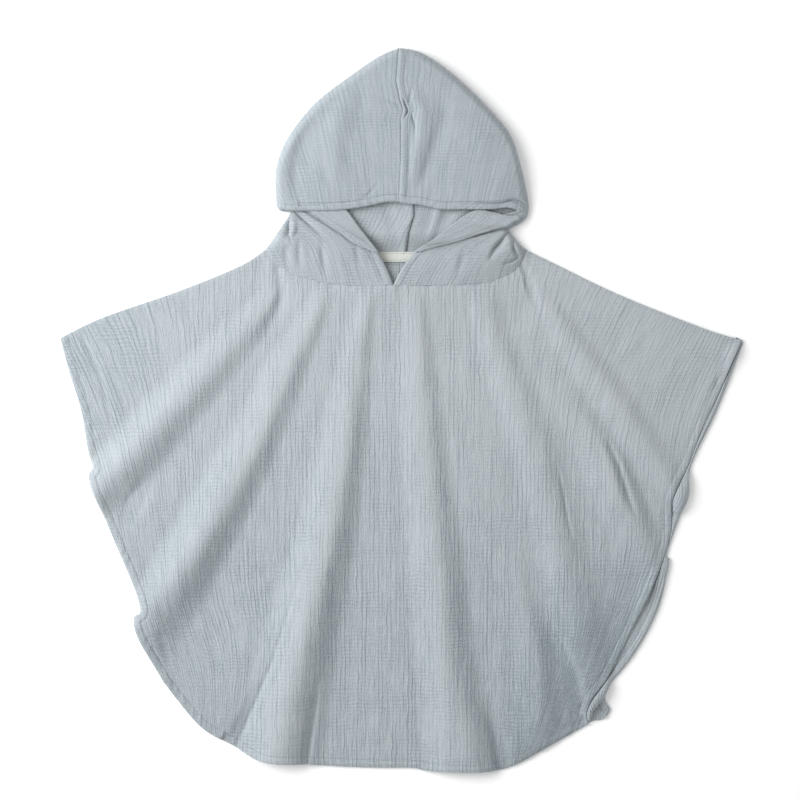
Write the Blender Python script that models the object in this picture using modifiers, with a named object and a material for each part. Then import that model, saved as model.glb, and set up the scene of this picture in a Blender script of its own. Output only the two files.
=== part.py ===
"""A toddler's hooded poncho towel of crinkled double gauze, laid out flat and face up.

The back panel lies on the surface, the front panel lies on it in soft fanned folds, and the hood is
pressed flat above them with its face opening up. Each cut piece is one closed wall of cloth.

Millimetres in the tables, metres in Blender. +X is the viewer's right, +Y runs from hem to hood and +Z is
up. The origin is the centre of the garment's footprint, on the surface that it lies on.
"""

from collections import namedtuple
from math import cos, pi, sin, sqrt

import bmesh
import bpy
import numpy as np

MM = 0.001

# Cloth
WALL = 1.5  # crinkled double gauze, with its loft
SEAM_GAP = 0.6  # between pieces that are sewn edge to edge
LAYER_GAP = 0.35  # between pieces that lie on each other
REST = WALL + LAYER_GAP  # height of the lowest cloth of the front panel

# Neckline
NECK_LIFT = 7.0  # how far the front neckline stands off the back one
NECK_LIFT_REACH = 75.0  # the front panel comes down again over this length
NECK_LIFT_WIDER = 1.9  # and over this many times it sideways
NAPE_Y = 152.6  # the back neckline's middle
SHOULDER_INSET = 1.5  # of the back panel's shoulders inside the front one's

# Hood
CENTRE_SEAM_X = -2.0
SIDE_RADIUS = 1.3  # middle of the wall round the side folds of the hood
SIDE_ROUNDING = 20.0  # how far the top layer takes to curve down to the side fold
SIDE_HEIGHT = 0.75  # height that it curves down from, as a share of the middle's
NARROW_ROUNDING = 0.6  # most of a narrow section that the curve takes
TURN_RADIUS = 1.0  # middle of the wall where the face hem turns out

# Neck tape
TAPE_WIDTH = 10.0
TAPE_THICK = 1.0
TAPE_HALF_LENGTH = 84.0
TAPE_CENTRE = (-4.0, 152.4)

# Grids: across the front under each shoulder, down it, and along the face edge of the hood
SHOULDER_COLUMNS, FRONT_ROWS = 11, 30
HEM_SHARE_LEFT, HEM_SHARE_RIGHT = 0.13, 0.9  # where the columns from the two shoulder points end
HOOD_ROWS_EACH = 2  # between two sections of the tables below
HOOD_TOP_STEPS = (0.0, 0.11, 0.22, 0.34, 0.46, 0.58, 0.69, 0.79, 0.87, 0.93, 0.975, 1.0)
HOOD_UNDER_STEPS = (0.12, 0.4, 0.7, 1.0)
TURNED_STEPS = (1.0, 0.66, 0.33, 0.0, -0.25, -0.5, -0.75)  # negative round the fold
BACK_LEFT_STEPS, BACK_RIGHT_STEPS = 46, 36
CURVE_SAMPLES, CREST_SAMPLES = 400, 160
STEP_ACROSS, STEP_ALONG = 0.02, 0.002  # small shares that directions are measured over

Point = namedtuple("Point", "x y")
Crest = namedtuple("Crest", "x y height left right")
Section = namedtuple("Section", "edge_x edge_y edge_z mid_x mid_y mid_z side_x side_y seam_y turned")

LEFT_SHOULDER = [
    Point(-340.5, 71.0), Point(-299.5, 91.0), Point(-222.9, 117.7), Point(-161.7, 142.7),
    Point(-136.0, 159.0),
]
RIGHT_SHOULDER = [
    Point(124.0, 159.0), Point(151.5, 145.7), Point(217.9, 113.8), Point(304.5, 79.5),
    Point(340.5, 69.0),
]
# The front neckline in two halves, each from its lowest point up to the shoulder point
LEFT_NECK = [
    Point(-8.0, 124.0), Point(-48.0, 123.2), Point(-80.0, 127.5), Point(-104.0, 133.5),
    Point(-124.0, 145.5), Point(-136.0, 159.0),
]
RIGHT_NECK = [
    Point(-8.0, 124.0), Point(40.0, 124.4), Point(78.0, 125.0), Point(97.0, 130.8),
    Point(115.0, 141.0), Point(124.0, 159.0),
]

# The front panel's edges, each from the shoulder end down or from left to right
FRONT_LEFT = [
    Point(-340.5, 71.0), Point(-332.5, 41.0), Point(-320.0, 0.0), Point(-313.0, -40.0),
    Point(-308.0, -58.0), Point(-311.0, -71.0), Point(-290.5, -122.0), Point(-260.5, -195.0),
    Point(-266.5, -208.0), Point(-261.0, -230.0), Point(-237.5, -272.0),
]
FRONT_HEM = [
    Point(-237.5, -272.0), Point(-202.0, -315.0), Point(-167.5, -335.5), Point(-140.0, -349.5),
    Point(-98.5, -353.5), Point(-40.0, -357.0), Point(17.0, -357.5), Point(26.0, -360.4),
    Point(88.0, -360.4), Point(113.5, -354.5), Point(146.5, -336.5), Point(186.0, -314.0),
]
FRONT_RIGHT = [
    Point(340.5, 69.0), Point(299.5, -20.5), Point(286.5, -55.0), Point(271.0, -88.0),
    Point(269.0, -120.0), Point(262.0, -147.0), Point(243.5, -192.0), Point(210.5, -259.0),
    Point(187.0, -291.0), Point(186.0, -314.0),
]
# The back panel shows past the front one on the right, and stays just inside it elsewhere
BACK_LEFT = [
    Point(-338.5, 69.0), Point(-330.5, 40.0), Point(-318.0, 0.0), Point(-306.0, -58.0),
    Point(-288.5, -121.0), Point(-260.0, -197.0), Point(-249.0, -252.0), Point(-215.5, -296.0),
    Point(-166.0, -333.5), Point(-97.0, -351.5), Point(17.0, -355.5), Point(98.0, -356.0),
    Point(146.0, -334.5), Point(187.0, -312.0),
]
BACK_RIGHT = [
    Point(207.5, -301.0), Point(202.5, -289.5), Point(208.5, -275.0), Point(233.0, -243.5),
    Point(256.0, -200.0), Point(267.5, -152.0), Point(265.0, -145.0), Point(278.0, -107.0),
    Point(286.5, -89.0), Point(289.3, -56.0), Point(314.5, -2.0), Point(339.5, 61.5),
]

# Folds of the front panel, left to right: the crest's way down the cloth, and the reach of each flank
FOLDS = {
    "left_sleeve": [
        Crest(-118.0, 126.0, 0.0, 14.0, 16.0), Crest(-150.5, 79.5, 4.5, 20.0, 23.0),
        Crest(-191.0, 39.5, 6.5, 24.0, 26.0), Crest(-227.0, -0.5, 8.5, 24.0, 30.0),
        Crest(-266.5, -42.0, 10.5, 24.0, 34.0), Crest(-308.0, -86.0, 8.5, 20.0, 30.0),
    ],
    "left_side": [
        Crest(-86.0, 116.0, 0.0, 12.0, 14.0), Crest(-114.5, 39.5, 5.5, 20.0, 23.0),
        Crest(-149.5, -40.5, 8.5, 26.0, 28.0), Crest(-193.5, -120.5, 12.0, 29.0, 32.0),
        Crest(-219.0, -160.5, 14.0, 29.0, 34.0), Crest(-262.0, -222.0, 11.0, 24.0, 32.0),
    ],
    "left_front": [
        Crest(-28.0, 106.0, 0.0, 12.0, 12.0), Crest(-45.0, 20.0, 3.5, 20.0, 20.0),
        Crest(-56.5, -40.5, 7.0, 26.0, 27.0), Crest(-71.5, -120.5, 9.5, 30.0, 32.0),
        Crest(-92.5, -200.5, 13.0, 32.0, 38.0), Crest(-113.0, -280.5, 15.5, 33.0, 42.0),
        Crest(-126.0, -362.0, 16.0, 32.0, 42.0),
    ],
    "right_front": [
        Crest(16.0, 110.0, 0.0, 14.0, 14.0), Crest(21.0, 20.0, 4.5, 22.0, 25.0),
        Crest(29.5, -80.5, 5.5, 26.0, 28.0), Crest(39.5, -200.5, 7.5, 28.0, 34.0),
        Crest(45.5, -280.5, 8.0, 28.0, 42.0), Crest(52.0, -364.0, 9.0, 30.0, 46.0),
    ],
    "right_hem": [
        Crest(58.0, -270.0, 0.0, 20.0, 24.0), Crest(70.0, -318.0, 4.0, 28.0, 28.0),
        Crest(80.0, -364.0, 6.0, 30.0, 30.0),
    ],
    "right_side": [
        Crest(78.0, 112.0, 0.0, 16.0, 18.0), Crest(121.5, -0.5, 4.0, 28.0, 30.0),
        Crest(144.5, -80.5, 5.0, 28.0, 30.0), Crest(163.0, -160.5, 5.5, 28.0, 34.0),
        Crest(183.0, -240.5, 6.5, 24.0, 40.0), Crest(194.0, -300.0, 5.0, 22.0, 30.0),
    ],
    "low_right": [
        Crest(102.0, -120.0, 0.0, 20.0, 16.0), Crest(122.0, -195.5, 2.5, 26.0, 22.0),
        Crest(136.0, -243.0, 5.0, 26.0, 24.0), Crest(142.0, -280.0, 5.5, 26.0, 24.0),
        Crest(146.0, -325.0, 1.0, 24.0, 22.0),
    ],
    "right_waist": [
        Crest(150.0, 30.0, 0.0, 20.0, 16.0), Crest(199.0, -40.5, 5.0, 28.0, 24.0),
        Crest(217.0, -82.0, 8.5, 32.0, 25.0), Crest(260.0, -160.0, 4.0, 28.0, 24.0),
    ],
    "right_sleeve": [
        Crest(136.0, 116.0, 0.0, 14.0, 18.0), Crest(192.5, 39.5, 3.5, 20.0, 24.0),
        Crest(248.5, -40.5, 4.0, 20.0, 24.0), Crest(274.0, -84.0, 3.0, 16.0, 20.0),
    ],
}

# The hood in sections along its face edge, from the front neck seam round to the forehead. Each runs from
# the face edge over a middle point to the side fold, then under to the centre back seam. The face hem is
# turned out over a share of the section, and tucks under the crown's front edge.
LEFT_HOOD = [
    Section(-9.0, 124.4, 9.6, -84.0, 128.0, 8.0, -136.0, 159.0, 153.0, 0.0),
    Section(-13.5, 140.0, 10.5, -78.0, 147.0, 11.0, -133.5, 161.5, 163.0, 0.0),
    Section(-24.0, 156.0, 11.0, -78.0, 165.0, 12.0, -130.5, 165.5, 176.0, 0.05),
    Section(-43.3, 181.0, 9.8, -84.0, 183.0, 10.0, -121.0, 180.0, 193.0, 0.29),
    Section(-61.0, 201.5, 8.0, -88.0, 197.0, 7.4, -112.0, 193.0, 208.0, 0.55),
    Section(-92.0, 204.0, 6.6, -101.0, 201.5, 6.0, -110.8, 197.5, 218.0, 0.50),
    Section(-116.0, 200.4, 7.5, -119.0, 200.4, 6.2, -122.2, 200.2, 228.0, 0.0),
    Section(-106.0, 198.5, 10.5, -114.5, 206.0, 10.5, -124.7, 213.0, 240.0, 0.0),
    Section(-84.0, 198.3, 11.5, -106.0, 220.0, 13.5, -124.2, 242.0, 258.0, 0.0),
    Section(-60.0, 198.9, 12.0, -88.0, 236.0, 15.5, -112.5, 271.5, 282.0, 0.0),
    Section(-38.0, 201.6, 12.4, -62.0, 254.0, 17.0, -86.0, 305.0, 308.0, 0.0),
    Section(-18.0, 205.8, 13.0, -34.0, 272.0, 17.8, -50.0, 333.0, 330.0, 0.0),
    Section(-8.0, 206.6, 13.1, -15.0, 280.0, 18.2, -21.0, 352.0, 342.0, 0.0),
    Section(-2.0, 206.0, 13.2, -2.0, 284.0, 18.4, -2.0, 360.2, 351.0, 0.0),
]
RIGHT_HOOD = [
    Section(-7.0, 124.4, 9.6, 62.0, 124.5, 8.0, 124.0, 159.0, 153.0, 0.0),
    Section(1.7, 141.0, 10.5, 64.0, 143.0, 11.0, 121.0, 161.5, 163.0, 0.0),
    Section(14.5, 157.0, 11.3, 66.0, 160.0, 12.0, 117.5, 164.5, 176.0, 0.04),
    Section(32.0, 168.0, 11.6, 72.0, 170.0, 12.4, 110.5, 173.0, 190.0, 0.38),
    Section(54.0, 185.2, 10.6, 80.0, 183.0, 10.6, 107.0, 180.0, 206.0, 0.88),
    Section(73.0, 198.5, 8.8, 95.0, 191.0, 8.8, 117.0, 185.8, 216.0, 0.88),
    Section(96.0, 195.5, 8.0, 109.0, 193.0, 7.6, 123.8, 191.5, 224.0, 0.80),
    Section(113.0, 199.0, 8.6, 119.0, 199.2, 7.8, 126.3, 199.5, 232.0, 0.0),
    Section(104.0, 201.2, 11.2, 113.0, 208.0, 11.2, 125.3, 212.0, 242.0, 0.0),
    Section(86.0, 198.4, 12.0, 106.0, 221.0, 14.0, 119.8, 238.0, 260.0, 0.0),
    Section(62.0, 199.4, 12.4, 88.0, 236.0, 15.8, 108.5, 273.0, 284.0, 0.0),
    Section(40.0, 199.2, 12.6, 64.0, 255.0, 17.0, 84.0, 303.0, 310.0, 0.0),
    Section(18.5, 203.6, 13.0, 34.0, 272.0, 17.8, 50.0, 335.0, 330.0, 0.0),
    Section(7.5, 204.4, 13.1, 13.0, 280.0, 18.2, 20.0, 355.4, 342.0, 0.0),
    Section(-2.0, 206.0, 13.2, -2.0, 284.0, 18.4, -2.0, 360.2, 351.0, 0.0),
]

CLOTH_COLOUR = (0.40, 0.46, 0.49, 1.0)
TAPE_COLOUR = (0.80, 0.79, 0.72, 1.0)


def clear_scene():
    for thing in list(bpy.data.objects):
        bpy.data.objects.remove(thing)


def make_material(name, colour, roughness):
    finish = bpy.data.materials.new(name)
    finish.use_nodes = True
    shader = finish.node_tree.nodes["Principled BSDF"]
    shader.inputs["Base Color"].default_value = colour
    shader.inputs["Roughness"].default_value = roughness
    shader.inputs["Metallic"].default_value = 0.0
    return finish


def along(rows, share):
    """The row at each share from 0 to 1 of a table, on a smooth curve through all its columns."""
    table = np.array(rows, float)
    last = len(table) - 1
    place = np.clip(np.atleast_1d(share), 0.0, 1.0) * last
    index = np.minimum(place.astype(int), last - 1)
    part = (place - index)[:, None]
    before, here = table[np.maximum(index - 1, 0)], table[index]
    after, beyond = table[index + 1], table[np.minimum(index + 2, last)]
    slope_in, slope_out = (after - before) / 2, (beyond - here) / 2
    square, cube = part**2, part**3
    return (
        (2 * cube - 3 * square + 1) * here
        + (cube - 2 * square + part) * slope_in
        + (3 * square - 2 * cube) * after
        + (cube - square) * slope_out
    )


def even_points(rows, shares):
    """Points at each share of the length of the smooth curve through rows of x and y."""
    fine = along(rows, np.linspace(0.0, 1.0, CURVE_SAMPLES))
    steps = np.linalg.norm(np.diff(fine, axis=0), axis=1)
    length = np.concatenate([[0.0], np.cumsum(steps)]) / steps.sum()
    return np.stack([np.interp(shares, length, fine[:, k]) for k in range(2)], axis=-1)


def evenly(rows, count):
    """count + 1 points at even distances on the smooth curve through rows of x and y."""
    return even_points(rows, np.linspace(0.0, 1.0, count + 1))


def join(one, other):
    """Two lines of points in a row, where one ends at the other's start."""
    return np.concatenate([one, other[1:]])


def neckline(side, share):
    """A point of the front neckline: share 0 is its lowest point and share 1 the shoulder point."""
    return even_points(LEFT_NECK if side < 0 else RIGHT_NECK, share)


def fold_height(x, y):
    """How high the folds lift the cloth over a point of the front panel."""
    lift = 0.0
    for crests in FOLDS.values():
        line = FOLD_LINES[id(crests)]
        nearest = np.hypot(line[:, 0] - x, line[:, 1] - y).argmin()
        before = line[max(nearest - 1, 0)]
        after = line[min(nearest + 1, len(line) - 1)]
        way_x, way_y = after[0] - before[0], after[1] - before[1]
        here = Crest(*line[nearest])
        across = ((x - here.x) * way_y - (y - here.y) * way_x) / sqrt(way_x**2 + way_y**2)
        # The crest runs down the cloth, so a point on its left has a positive distance.
        reach = here.left if across > 0 else here.right
        if abs(across) < reach:
            lift += here.height * cos(pi / 2 * across / reach) ** 2
    return lift


def front_height(x, y):
    """The underside of the front panel."""
    away = sqrt(((x - LEFT_NECK[0].x) / NECK_LIFT_WIDER) ** 2 + (y - LEFT_NECK[0].y) ** 2)
    above_rest = max(0.0, 1.0 - away / NECK_LIFT_REACH)
    return REST + NECK_LIFT * above_rest**1.5 * (3 - 2 * above_rest**0.5) + fold_height(x, y)


def wall(name, patches, offset, finish, into):
    """Patches of columns by rows faces, each moved to its place(column, row), as one wall of cloth."""
    mesh = bpy.data.meshes.new(name)
    shape = bmesh.new()
    for columns, rows, place in patches:
        grid = bmesh.ops.create_grid(shape, x_segments=columns, y_segments=rows, size=1.0)["verts"]
        for corner in grid:
            spot = place(round((corner.co.x + 1) / 2 * columns), round((corner.co.y + 1) / 2 * rows))
            corner.co = [length * MM for length in spot]
    bmesh.ops.remove_doubles(shape, verts=shape.verts, dist=0.001 * MM)
    shape.to_mesh(mesh)
    shape.free()
    mesh.materials.append(finish)
    piece = bpy.data.objects.new(name, mesh)
    into.objects.link(piece)
    solidify = piece.modifiers.new("wall", "SOLIDIFY")
    solidify.thickness = WALL * MM
    solidify.offset = offset
    return piece


def make_front(finish, into):
    """The front panel: a four-sided patch between its shoulder and neck line, hem and two side edges."""
    neck = [neckline(-1, step) for step in reversed(HOOD_TOP_STEPS)]
    neck += [neckline(1, step) for step in HOOD_TOP_STEPS[1:]]
    top = join(join(evenly(LEFT_SHOULDER, SHOULDER_COLUMNS), neck), evenly(RIGHT_SHOULDER, SHOULDER_COLUMNS))
    counts = SHOULDER_COLUMNS, len(neck) - 1, SHOULDER_COLUMNS
    shares = 0.0, HEM_SHARE_LEFT, HEM_SHARE_RIGHT, 1.0
    steps = [0.0]
    for count, start, end in zip(counts, shares, shares[1:]):
        steps += [start + (end - start) * (k + 1) / count for k in range(count)]
    hem = even_points(FRONT_HEM, np.array(steps))
    columns = len(top) - 1
    left, right = evenly(FRONT_LEFT, FRONT_ROWS), evenly(FRONT_RIGHT, FRONT_ROWS)

    def place(column, level):
        row = FRONT_ROWS - level
        across, down = column / columns, row / FRONT_ROWS
        sides = (1 - across) * left[row] + across * right[row]
        ends = (1 - down) * top[column] + down * hem[column]
        corners = (1 - across) * ((1 - down) * top[0] + down * hem[0]) + across * (
            (1 - down) * top[-1] + down * hem[-1]
        )
        x, y = sides + ends - corners
        return x, y, front_height(x, y)

    return wall("front_panel", [(columns, FRONT_ROWS, place)], 1.0, finish, into)


def make_back(finish, into):
    """The back panel: a flat cut that the rest lies on."""
    nape = Point(CENTRE_SEAM_X, NAPE_Y - SEAM_GAP)
    cut = evenly(BACK_LEFT, BACK_LEFT_STEPS).tolist() + evenly(BACK_RIGHT, BACK_RIGHT_STEPS).tolist()
    cut += [[p.x, p.y - SHOULDER_INSET] for p in reversed(RIGHT_SHOULDER)]
    cut += [nape]
    cut += [[p.x, p.y - SHOULDER_INSET] for p in reversed(LEFT_SHOULDER)]
    outline = bpy.data.curves.new("back_panel", "CURVE")
    outline.dimensions = "2D"
    outline.fill_mode = "BOTH"
    outline.extrude = WALL / 2 * MM
    spline = outline.splines.new("POLY")
    spline.points.add(len(cut) - 1)
    for spot, corner in zip(spline.points, cut):
        spot.co = (corner[0] * MM, corner[1] * MM, 0.0, 1.0)
    spline.use_cyclic_u = True
    outline.materials.append(finish)
    piece = bpy.data.objects.new("back_panel", outline)
    piece.location.z = WALL / 2 * MM
    into.objects.link(piece)
    return piece


def make_hood(name, side, sections, finish, into):
    """Half of the hood, from its turned-out face hem over to the side fold, and on under to the back."""
    rows = HOOD_ROWS_EACH * (len(sections) - 1)
    first_turned = HOOD_ROWS_EACH * min(k for k, row in enumerate(sections) if row.turned > 0)
    last_turned = HOOD_ROWS_EACH * max(k for k, row in enumerate(sections) if row.turned > 0)
    seam_x = CENTRE_SEAM_X + side * SEAM_GAP

    def beside_seam(spot):
        return [side * max(side * spot[0], side * seam_x), spot[1], spot[2]]

    def neck_share(share):
        """1 at the neck seam, 0 from the second section on."""
        return max(0.0, 1 - share * (len(sections) - 1) / 2) ** 2

    def top(share, step):
        row = Section(*along(sections, share)[0])
        edge, middle = np.array(row[0:3]), np.array(row[3:6])
        turn = np.array([row.side_x, row.side_y, row.mid_z * SIDE_HEIGHT])
        spot = edge + step * (4 * middle - 3 * edge - turn) + step**2 * (2 * edge + 2 * turn - 4 * middle)
        low = SIDE_RADIUS + WALL / 2
        reach = min(SIDE_ROUNDING, NARROW_ROUNDING * np.hypot(*(edge - turn)[:2]))
        left = min(1.0, np.hypot(*(spot - turn)[:2]) / reach) if step < 1 else 0.0
        spot[2] = low + (spot[2] - low) * sqrt(1 - (1 - left) ** 2)
        at_neck = neck_share(share)
        if at_neck > 0:
            share_along = min(max(step, 0.0), 1.0)
            line, after = neckline(side, share_along), neckline(side, share_along + STEP_ACROSS)
            if share_along + STEP_ACROSS > 1:
                line, after = neckline(side, share_along - STEP_ACROSS), line
            way = (after - line) / np.hypot(*(after - line))
            line = neckline(side, share_along)
            apart = SEAM_GAP * np.array([-side * way[1] + side * (1 - share_along), side * way[0]])
            on_seam = np.append(line + apart, front_height(*line) + WALL / 2)
            spot = spot + at_neck * (on_seam - spot)
        return np.array(beside_seam(spot))

    def turned(share, step):
        """On the turned-out hem: step 1 at its free edge, 0 over the fold, then down round the fold."""
        row = Section(*along(sections, share)[0])
        here = top(share, max(step, 0.0) * row.turned)
        along_hem = top(share + STEP_ALONG, max(step, 0.0) * row.turned) - here
        inward = top(share, max(step, 0.0) * row.turned + STEP_ACROSS) - here
        out = np.cross(along_hem, inward)
        out *= np.sign(out[2]) / np.linalg.norm(out)
        if step >= 0:
            return here + out * 2 * TURN_RADIUS
        around = (1 + step) * pi
        beyond = -inward / np.linalg.norm(inward)
        return here + TURN_RADIUS * (beyond * sin(around) + out * (1 - cos(around)))

    def under(share, step):
        row = Section(*along(sections, share)[0])
        turn = top(share, 1.0)
        goal = np.array([seam_x, row.seam_y, WALL / 2])
        spot = turn + step * (goal - turn)
        spot[2] = WALL / 2
        return beside_seam(spot)

    def main_place(column, level):
        share = (level if side < 0 else rows - level) / rows
        if column < len(HOOD_TOP_STEPS):
            return top(share, HOOD_TOP_STEPS[column])
        return under(share, HOOD_UNDER_STEPS[column - len(HOOD_TOP_STEPS)])

    def turned_place(column, level):
        count = last_turned - first_turned
        share = (first_turned + (level if side < 0 else count - level)) / rows
        if column == len(TURNED_STEPS):
            return top(share, 0.0)
        return turned(share, TURNED_STEPS[column])

    main_columns = len(HOOD_TOP_STEPS) + len(HOOD_UNDER_STEPS) - 1
    patches = [
        (main_columns, rows, main_place),
        (len(TURNED_STEPS), last_turned - first_turned, turned_place),
    ]
    return wall(name, patches, 0.0, finish, into)


def make_tape(finish, into):
    """The tape that covers the back neck seam on the inside."""
    bpy.ops.mesh.primitive_cube_add(size=1.0)
    tape = bpy.context.object
    tape.name = "neck_tape"
    length = 2 * TAPE_HALF_LENGTH
    tape.scale = (length * MM, TAPE_WIDTH * MM, TAPE_THICK * MM)
    tape.location = (TAPE_CENTRE[0] * MM, TAPE_CENTRE[1] * MM, (REST + TAPE_THICK / 2) * MM)
    tape.data.materials.append(finish)
    for holder in list(tape.users_collection):
        holder.objects.unlink(tape)
    into.objects.link(tape)
    return tape


clear_scene()
garment = bpy.data.collections.new("hooded_poncho_towel")
bpy.context.scene.collection.children.link(garment)
gauze = make_material("double_gauze", CLOTH_COLOUR, 0.9)
cotton_tape = make_material("cotton_tape", TAPE_COLOUR, 0.85)
FOLD_LINES = {id(crests): along(crests, np.linspace(0.0, 1.0, CREST_SAMPLES)) for crests in FOLDS.values()}
make_back(gauze, garment)
make_front(gauze, garment)
make_hood("hood_left", -1, LEFT_HOOD, gauze, garment)
make_hood("hood_right", 1, RIGHT_HOOD, gauze, garment)
make_tape(cotton_tape, garment)
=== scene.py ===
"""The looks of a toddler's hooded poncho towel of crinkled double gauze, laid out flat and face up.

Tables and constants are in millimetres, with the origin under the middle of the garment, +Y towards the hood
and +Z up. Meshes are in metres.
"""

from collections import namedtuple

import bmesh
import bpy
import numpy as np
from bpy.props import FloatProperty, FloatVectorProperty, PointerProperty
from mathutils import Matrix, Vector
from mathutils.bvhtree import BVHTree


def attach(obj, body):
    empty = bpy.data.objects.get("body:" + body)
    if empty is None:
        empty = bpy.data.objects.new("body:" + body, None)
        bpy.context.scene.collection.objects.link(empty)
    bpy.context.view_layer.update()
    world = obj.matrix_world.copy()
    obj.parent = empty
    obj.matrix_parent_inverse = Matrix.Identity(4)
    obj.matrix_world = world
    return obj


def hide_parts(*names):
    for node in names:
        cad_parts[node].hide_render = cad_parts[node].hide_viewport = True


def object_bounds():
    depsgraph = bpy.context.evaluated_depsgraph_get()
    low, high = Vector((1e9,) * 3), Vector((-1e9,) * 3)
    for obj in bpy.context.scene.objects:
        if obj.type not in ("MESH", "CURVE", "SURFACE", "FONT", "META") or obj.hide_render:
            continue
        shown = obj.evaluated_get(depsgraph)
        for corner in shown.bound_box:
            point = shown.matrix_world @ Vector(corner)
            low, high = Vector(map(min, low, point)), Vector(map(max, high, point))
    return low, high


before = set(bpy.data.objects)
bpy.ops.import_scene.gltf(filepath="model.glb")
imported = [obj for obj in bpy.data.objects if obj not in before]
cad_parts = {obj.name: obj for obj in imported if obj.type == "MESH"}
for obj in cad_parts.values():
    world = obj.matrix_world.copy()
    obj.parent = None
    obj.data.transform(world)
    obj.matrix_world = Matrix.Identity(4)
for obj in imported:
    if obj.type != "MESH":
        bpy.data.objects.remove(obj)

bl_info = {
    "name": "Hooded Poncho Towel",
    "version": (1, 0, 0),
    "blender": (4, 5, 0),
    "location": "View3D > Sidebar > Towel",
    "description": "Makes a hooded poncho towel of crinkled cotton double gauze, laid flat",
    "category": "Add Mesh",
}

MM = 0.001
CAD_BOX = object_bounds()

# The cloth, as the part's solids have it, but with closer seams and with fuller sides to the hood
WALL = 1.5
REST = WALL + 0.35  # underside of the front panel where it lies on the back panel
NECK_LIFT, NECK_LIFT_REACH, NECK_LIFT_WIDER = 7.0, 75.0, 1.9  # the swell of the front panel under the collar
NAPE_Y = 152.0  # where the middle of the back panel's top edge is
SHOULDER_INSET = 1.5  # how far the back panel's shoulders lie inside the front's
CENTRE_SEAM_X = -2.0
SEAM_GAP = 0.08
SIDE_RADIUS = 1.3  # of the hood's side fold, inside
SIDE_ROUNDING = 9.0  # how far from its side fold a hood half starts to fall towards it,
NARROW_ROUNDING = 0.6  # and where it is narrow, from what share of its width
SIDE_HEIGHT = 0.96  # height of a hood half beside its side fold, as a share of the height at its middle
TURN_RADIUS = 1.0  # of the fold of the turned-out face hem
FACE_SECTIONS = 4  # sections of a hood half below its crown, where it may pass the centre seam
BACK_CORNER = 6  # point of BACK_LEFT where the side ends and the hem starts
BACK_HIDDEN = 6.0  # how far under the front panel's edge the back's shown strip starts
NECK_FALL = 0.9  # depth of the front panel's raw edge in the neck seam
NECK_SWELL = 4.5  # swell of the back panel under the slit of the neck
INNER_BILLOW = 7.0  # swell of the inner back of the hood
# The front panel's rolled edge, as rings of points: how far out and how far up from the edge each is
EDGE_RINGS = [(0.0, 0.0), (0.3, -0.25), (0.4, -0.7), (0.25, -1.15), (-0.5, -1.4), (-7.0, -1.4)]

Point = namedtuple("Point", "x y")
Crest = namedtuple("Crest", "x y height left right")
Section = namedtuple("Section", "edge_x edge_y edge_z mid_x mid_y mid_z side_x side_y seam_y turned")

# Outlines, seen from above
LEFT_SHOULDER = [
    Point(-340.5, 71.0), Point(-299.5, 91.0), Point(-222.9, 117.7), Point(-161.7, 142.7),
    Point(-136.0, 159.0),
]
RIGHT_SHOULDER = [
    Point(124.0, 159.0), Point(151.5, 145.7), Point(217.9, 113.8), Point(304.5, 79.5),
    Point(340.5, 69.0),
]
LEFT_NECK = [
    Point(-8.0, 124.0), Point(-48.0, 123.2), Point(-80.0, 127.5), Point(-104.0, 133.5),
    Point(-124.0, 145.5), Point(-136.0, 159.0),
]
RIGHT_NECK = [
    Point(-8.0, 124.0), Point(40.0, 124.4), Point(78.0, 125.0), Point(97.0, 130.8),
    Point(115.0, 141.0), Point(124.0, 159.0),
]
FRONT_LEFT = [
    Point(-340.5, 71.0), Point(-332.5, 41.0), Point(-320.0, 0.0), Point(-313.0, -40.0),
    Point(-308.0, -58.0), Point(-311.0, -71.0), Point(-290.5, -122.0), Point(-260.5, -195.0),
    Point(-266.5, -208.0), Point(-261.0, -230.0), Point(-237.5, -272.0),
]
FRONT_HEM = [
    Point(-237.5, -272.0), Point(-202.0, -315.0), Point(-167.5, -335.5), Point(-140.0, -349.5),
    Point(-98.5, -353.5), Point(-40.0, -357.0), Point(10.0, -357.5), Point(28.0, -360.4),
    Point(88.0, -360.4), Point(113.5, -354.5), Point(146.5, -336.5), Point(186.0, -314.0),
]
FRONT_RIGHT = [
    Point(340.5, 69.0), Point(334.0, 57.0), Point(329.0, 46.0), Point(317.0, 17.0), Point(299.5, -20.5),
    Point(286.5, -55.0), Point(271.0, -88.0), Point(269.0, -120.0), Point(262.0, -147.0),
    Point(243.5, -192.0), Point(210.5, -259.0), Point(197.5, -278.5), Point(189.0, -290.0),
    Point(184.5, -303.0), Point(186.0, -314.0),
]
BACK_LEFT = [
    Point(-338.5, 69.0), Point(-330.5, 40.0), Point(-318.0, 0.0), Point(-306.0, -58.0),
    Point(-288.5, -121.0), Point(-260.0, -197.0), Point(-249.0, -252.0), Point(-215.5, -296.0),
    Point(-166.0, -333.5), Point(-97.0, -351.5), Point(17.0, -355.5), Point(98.0, -356.0),
    Point(146.0, -334.5), Point(187.0, -313.0), Point(199.0, -310.0), Point(206.0, -305.0),
]
BACK_RIGHT = [
    Point(208.5, -299.0), Point(203.5, -289.5), Point(208.5, -275.0), Point(233.0, -243.5),
    Point(256.0, -200.0), Point(267.5, -152.0), Point(265.0, -145.0), Point(278.0, -107.0),
    Point(286.5, -89.0), Point(289.3, -56.0), Point(314.5, -2.0), Point(339.5, 61.5),
]

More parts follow.
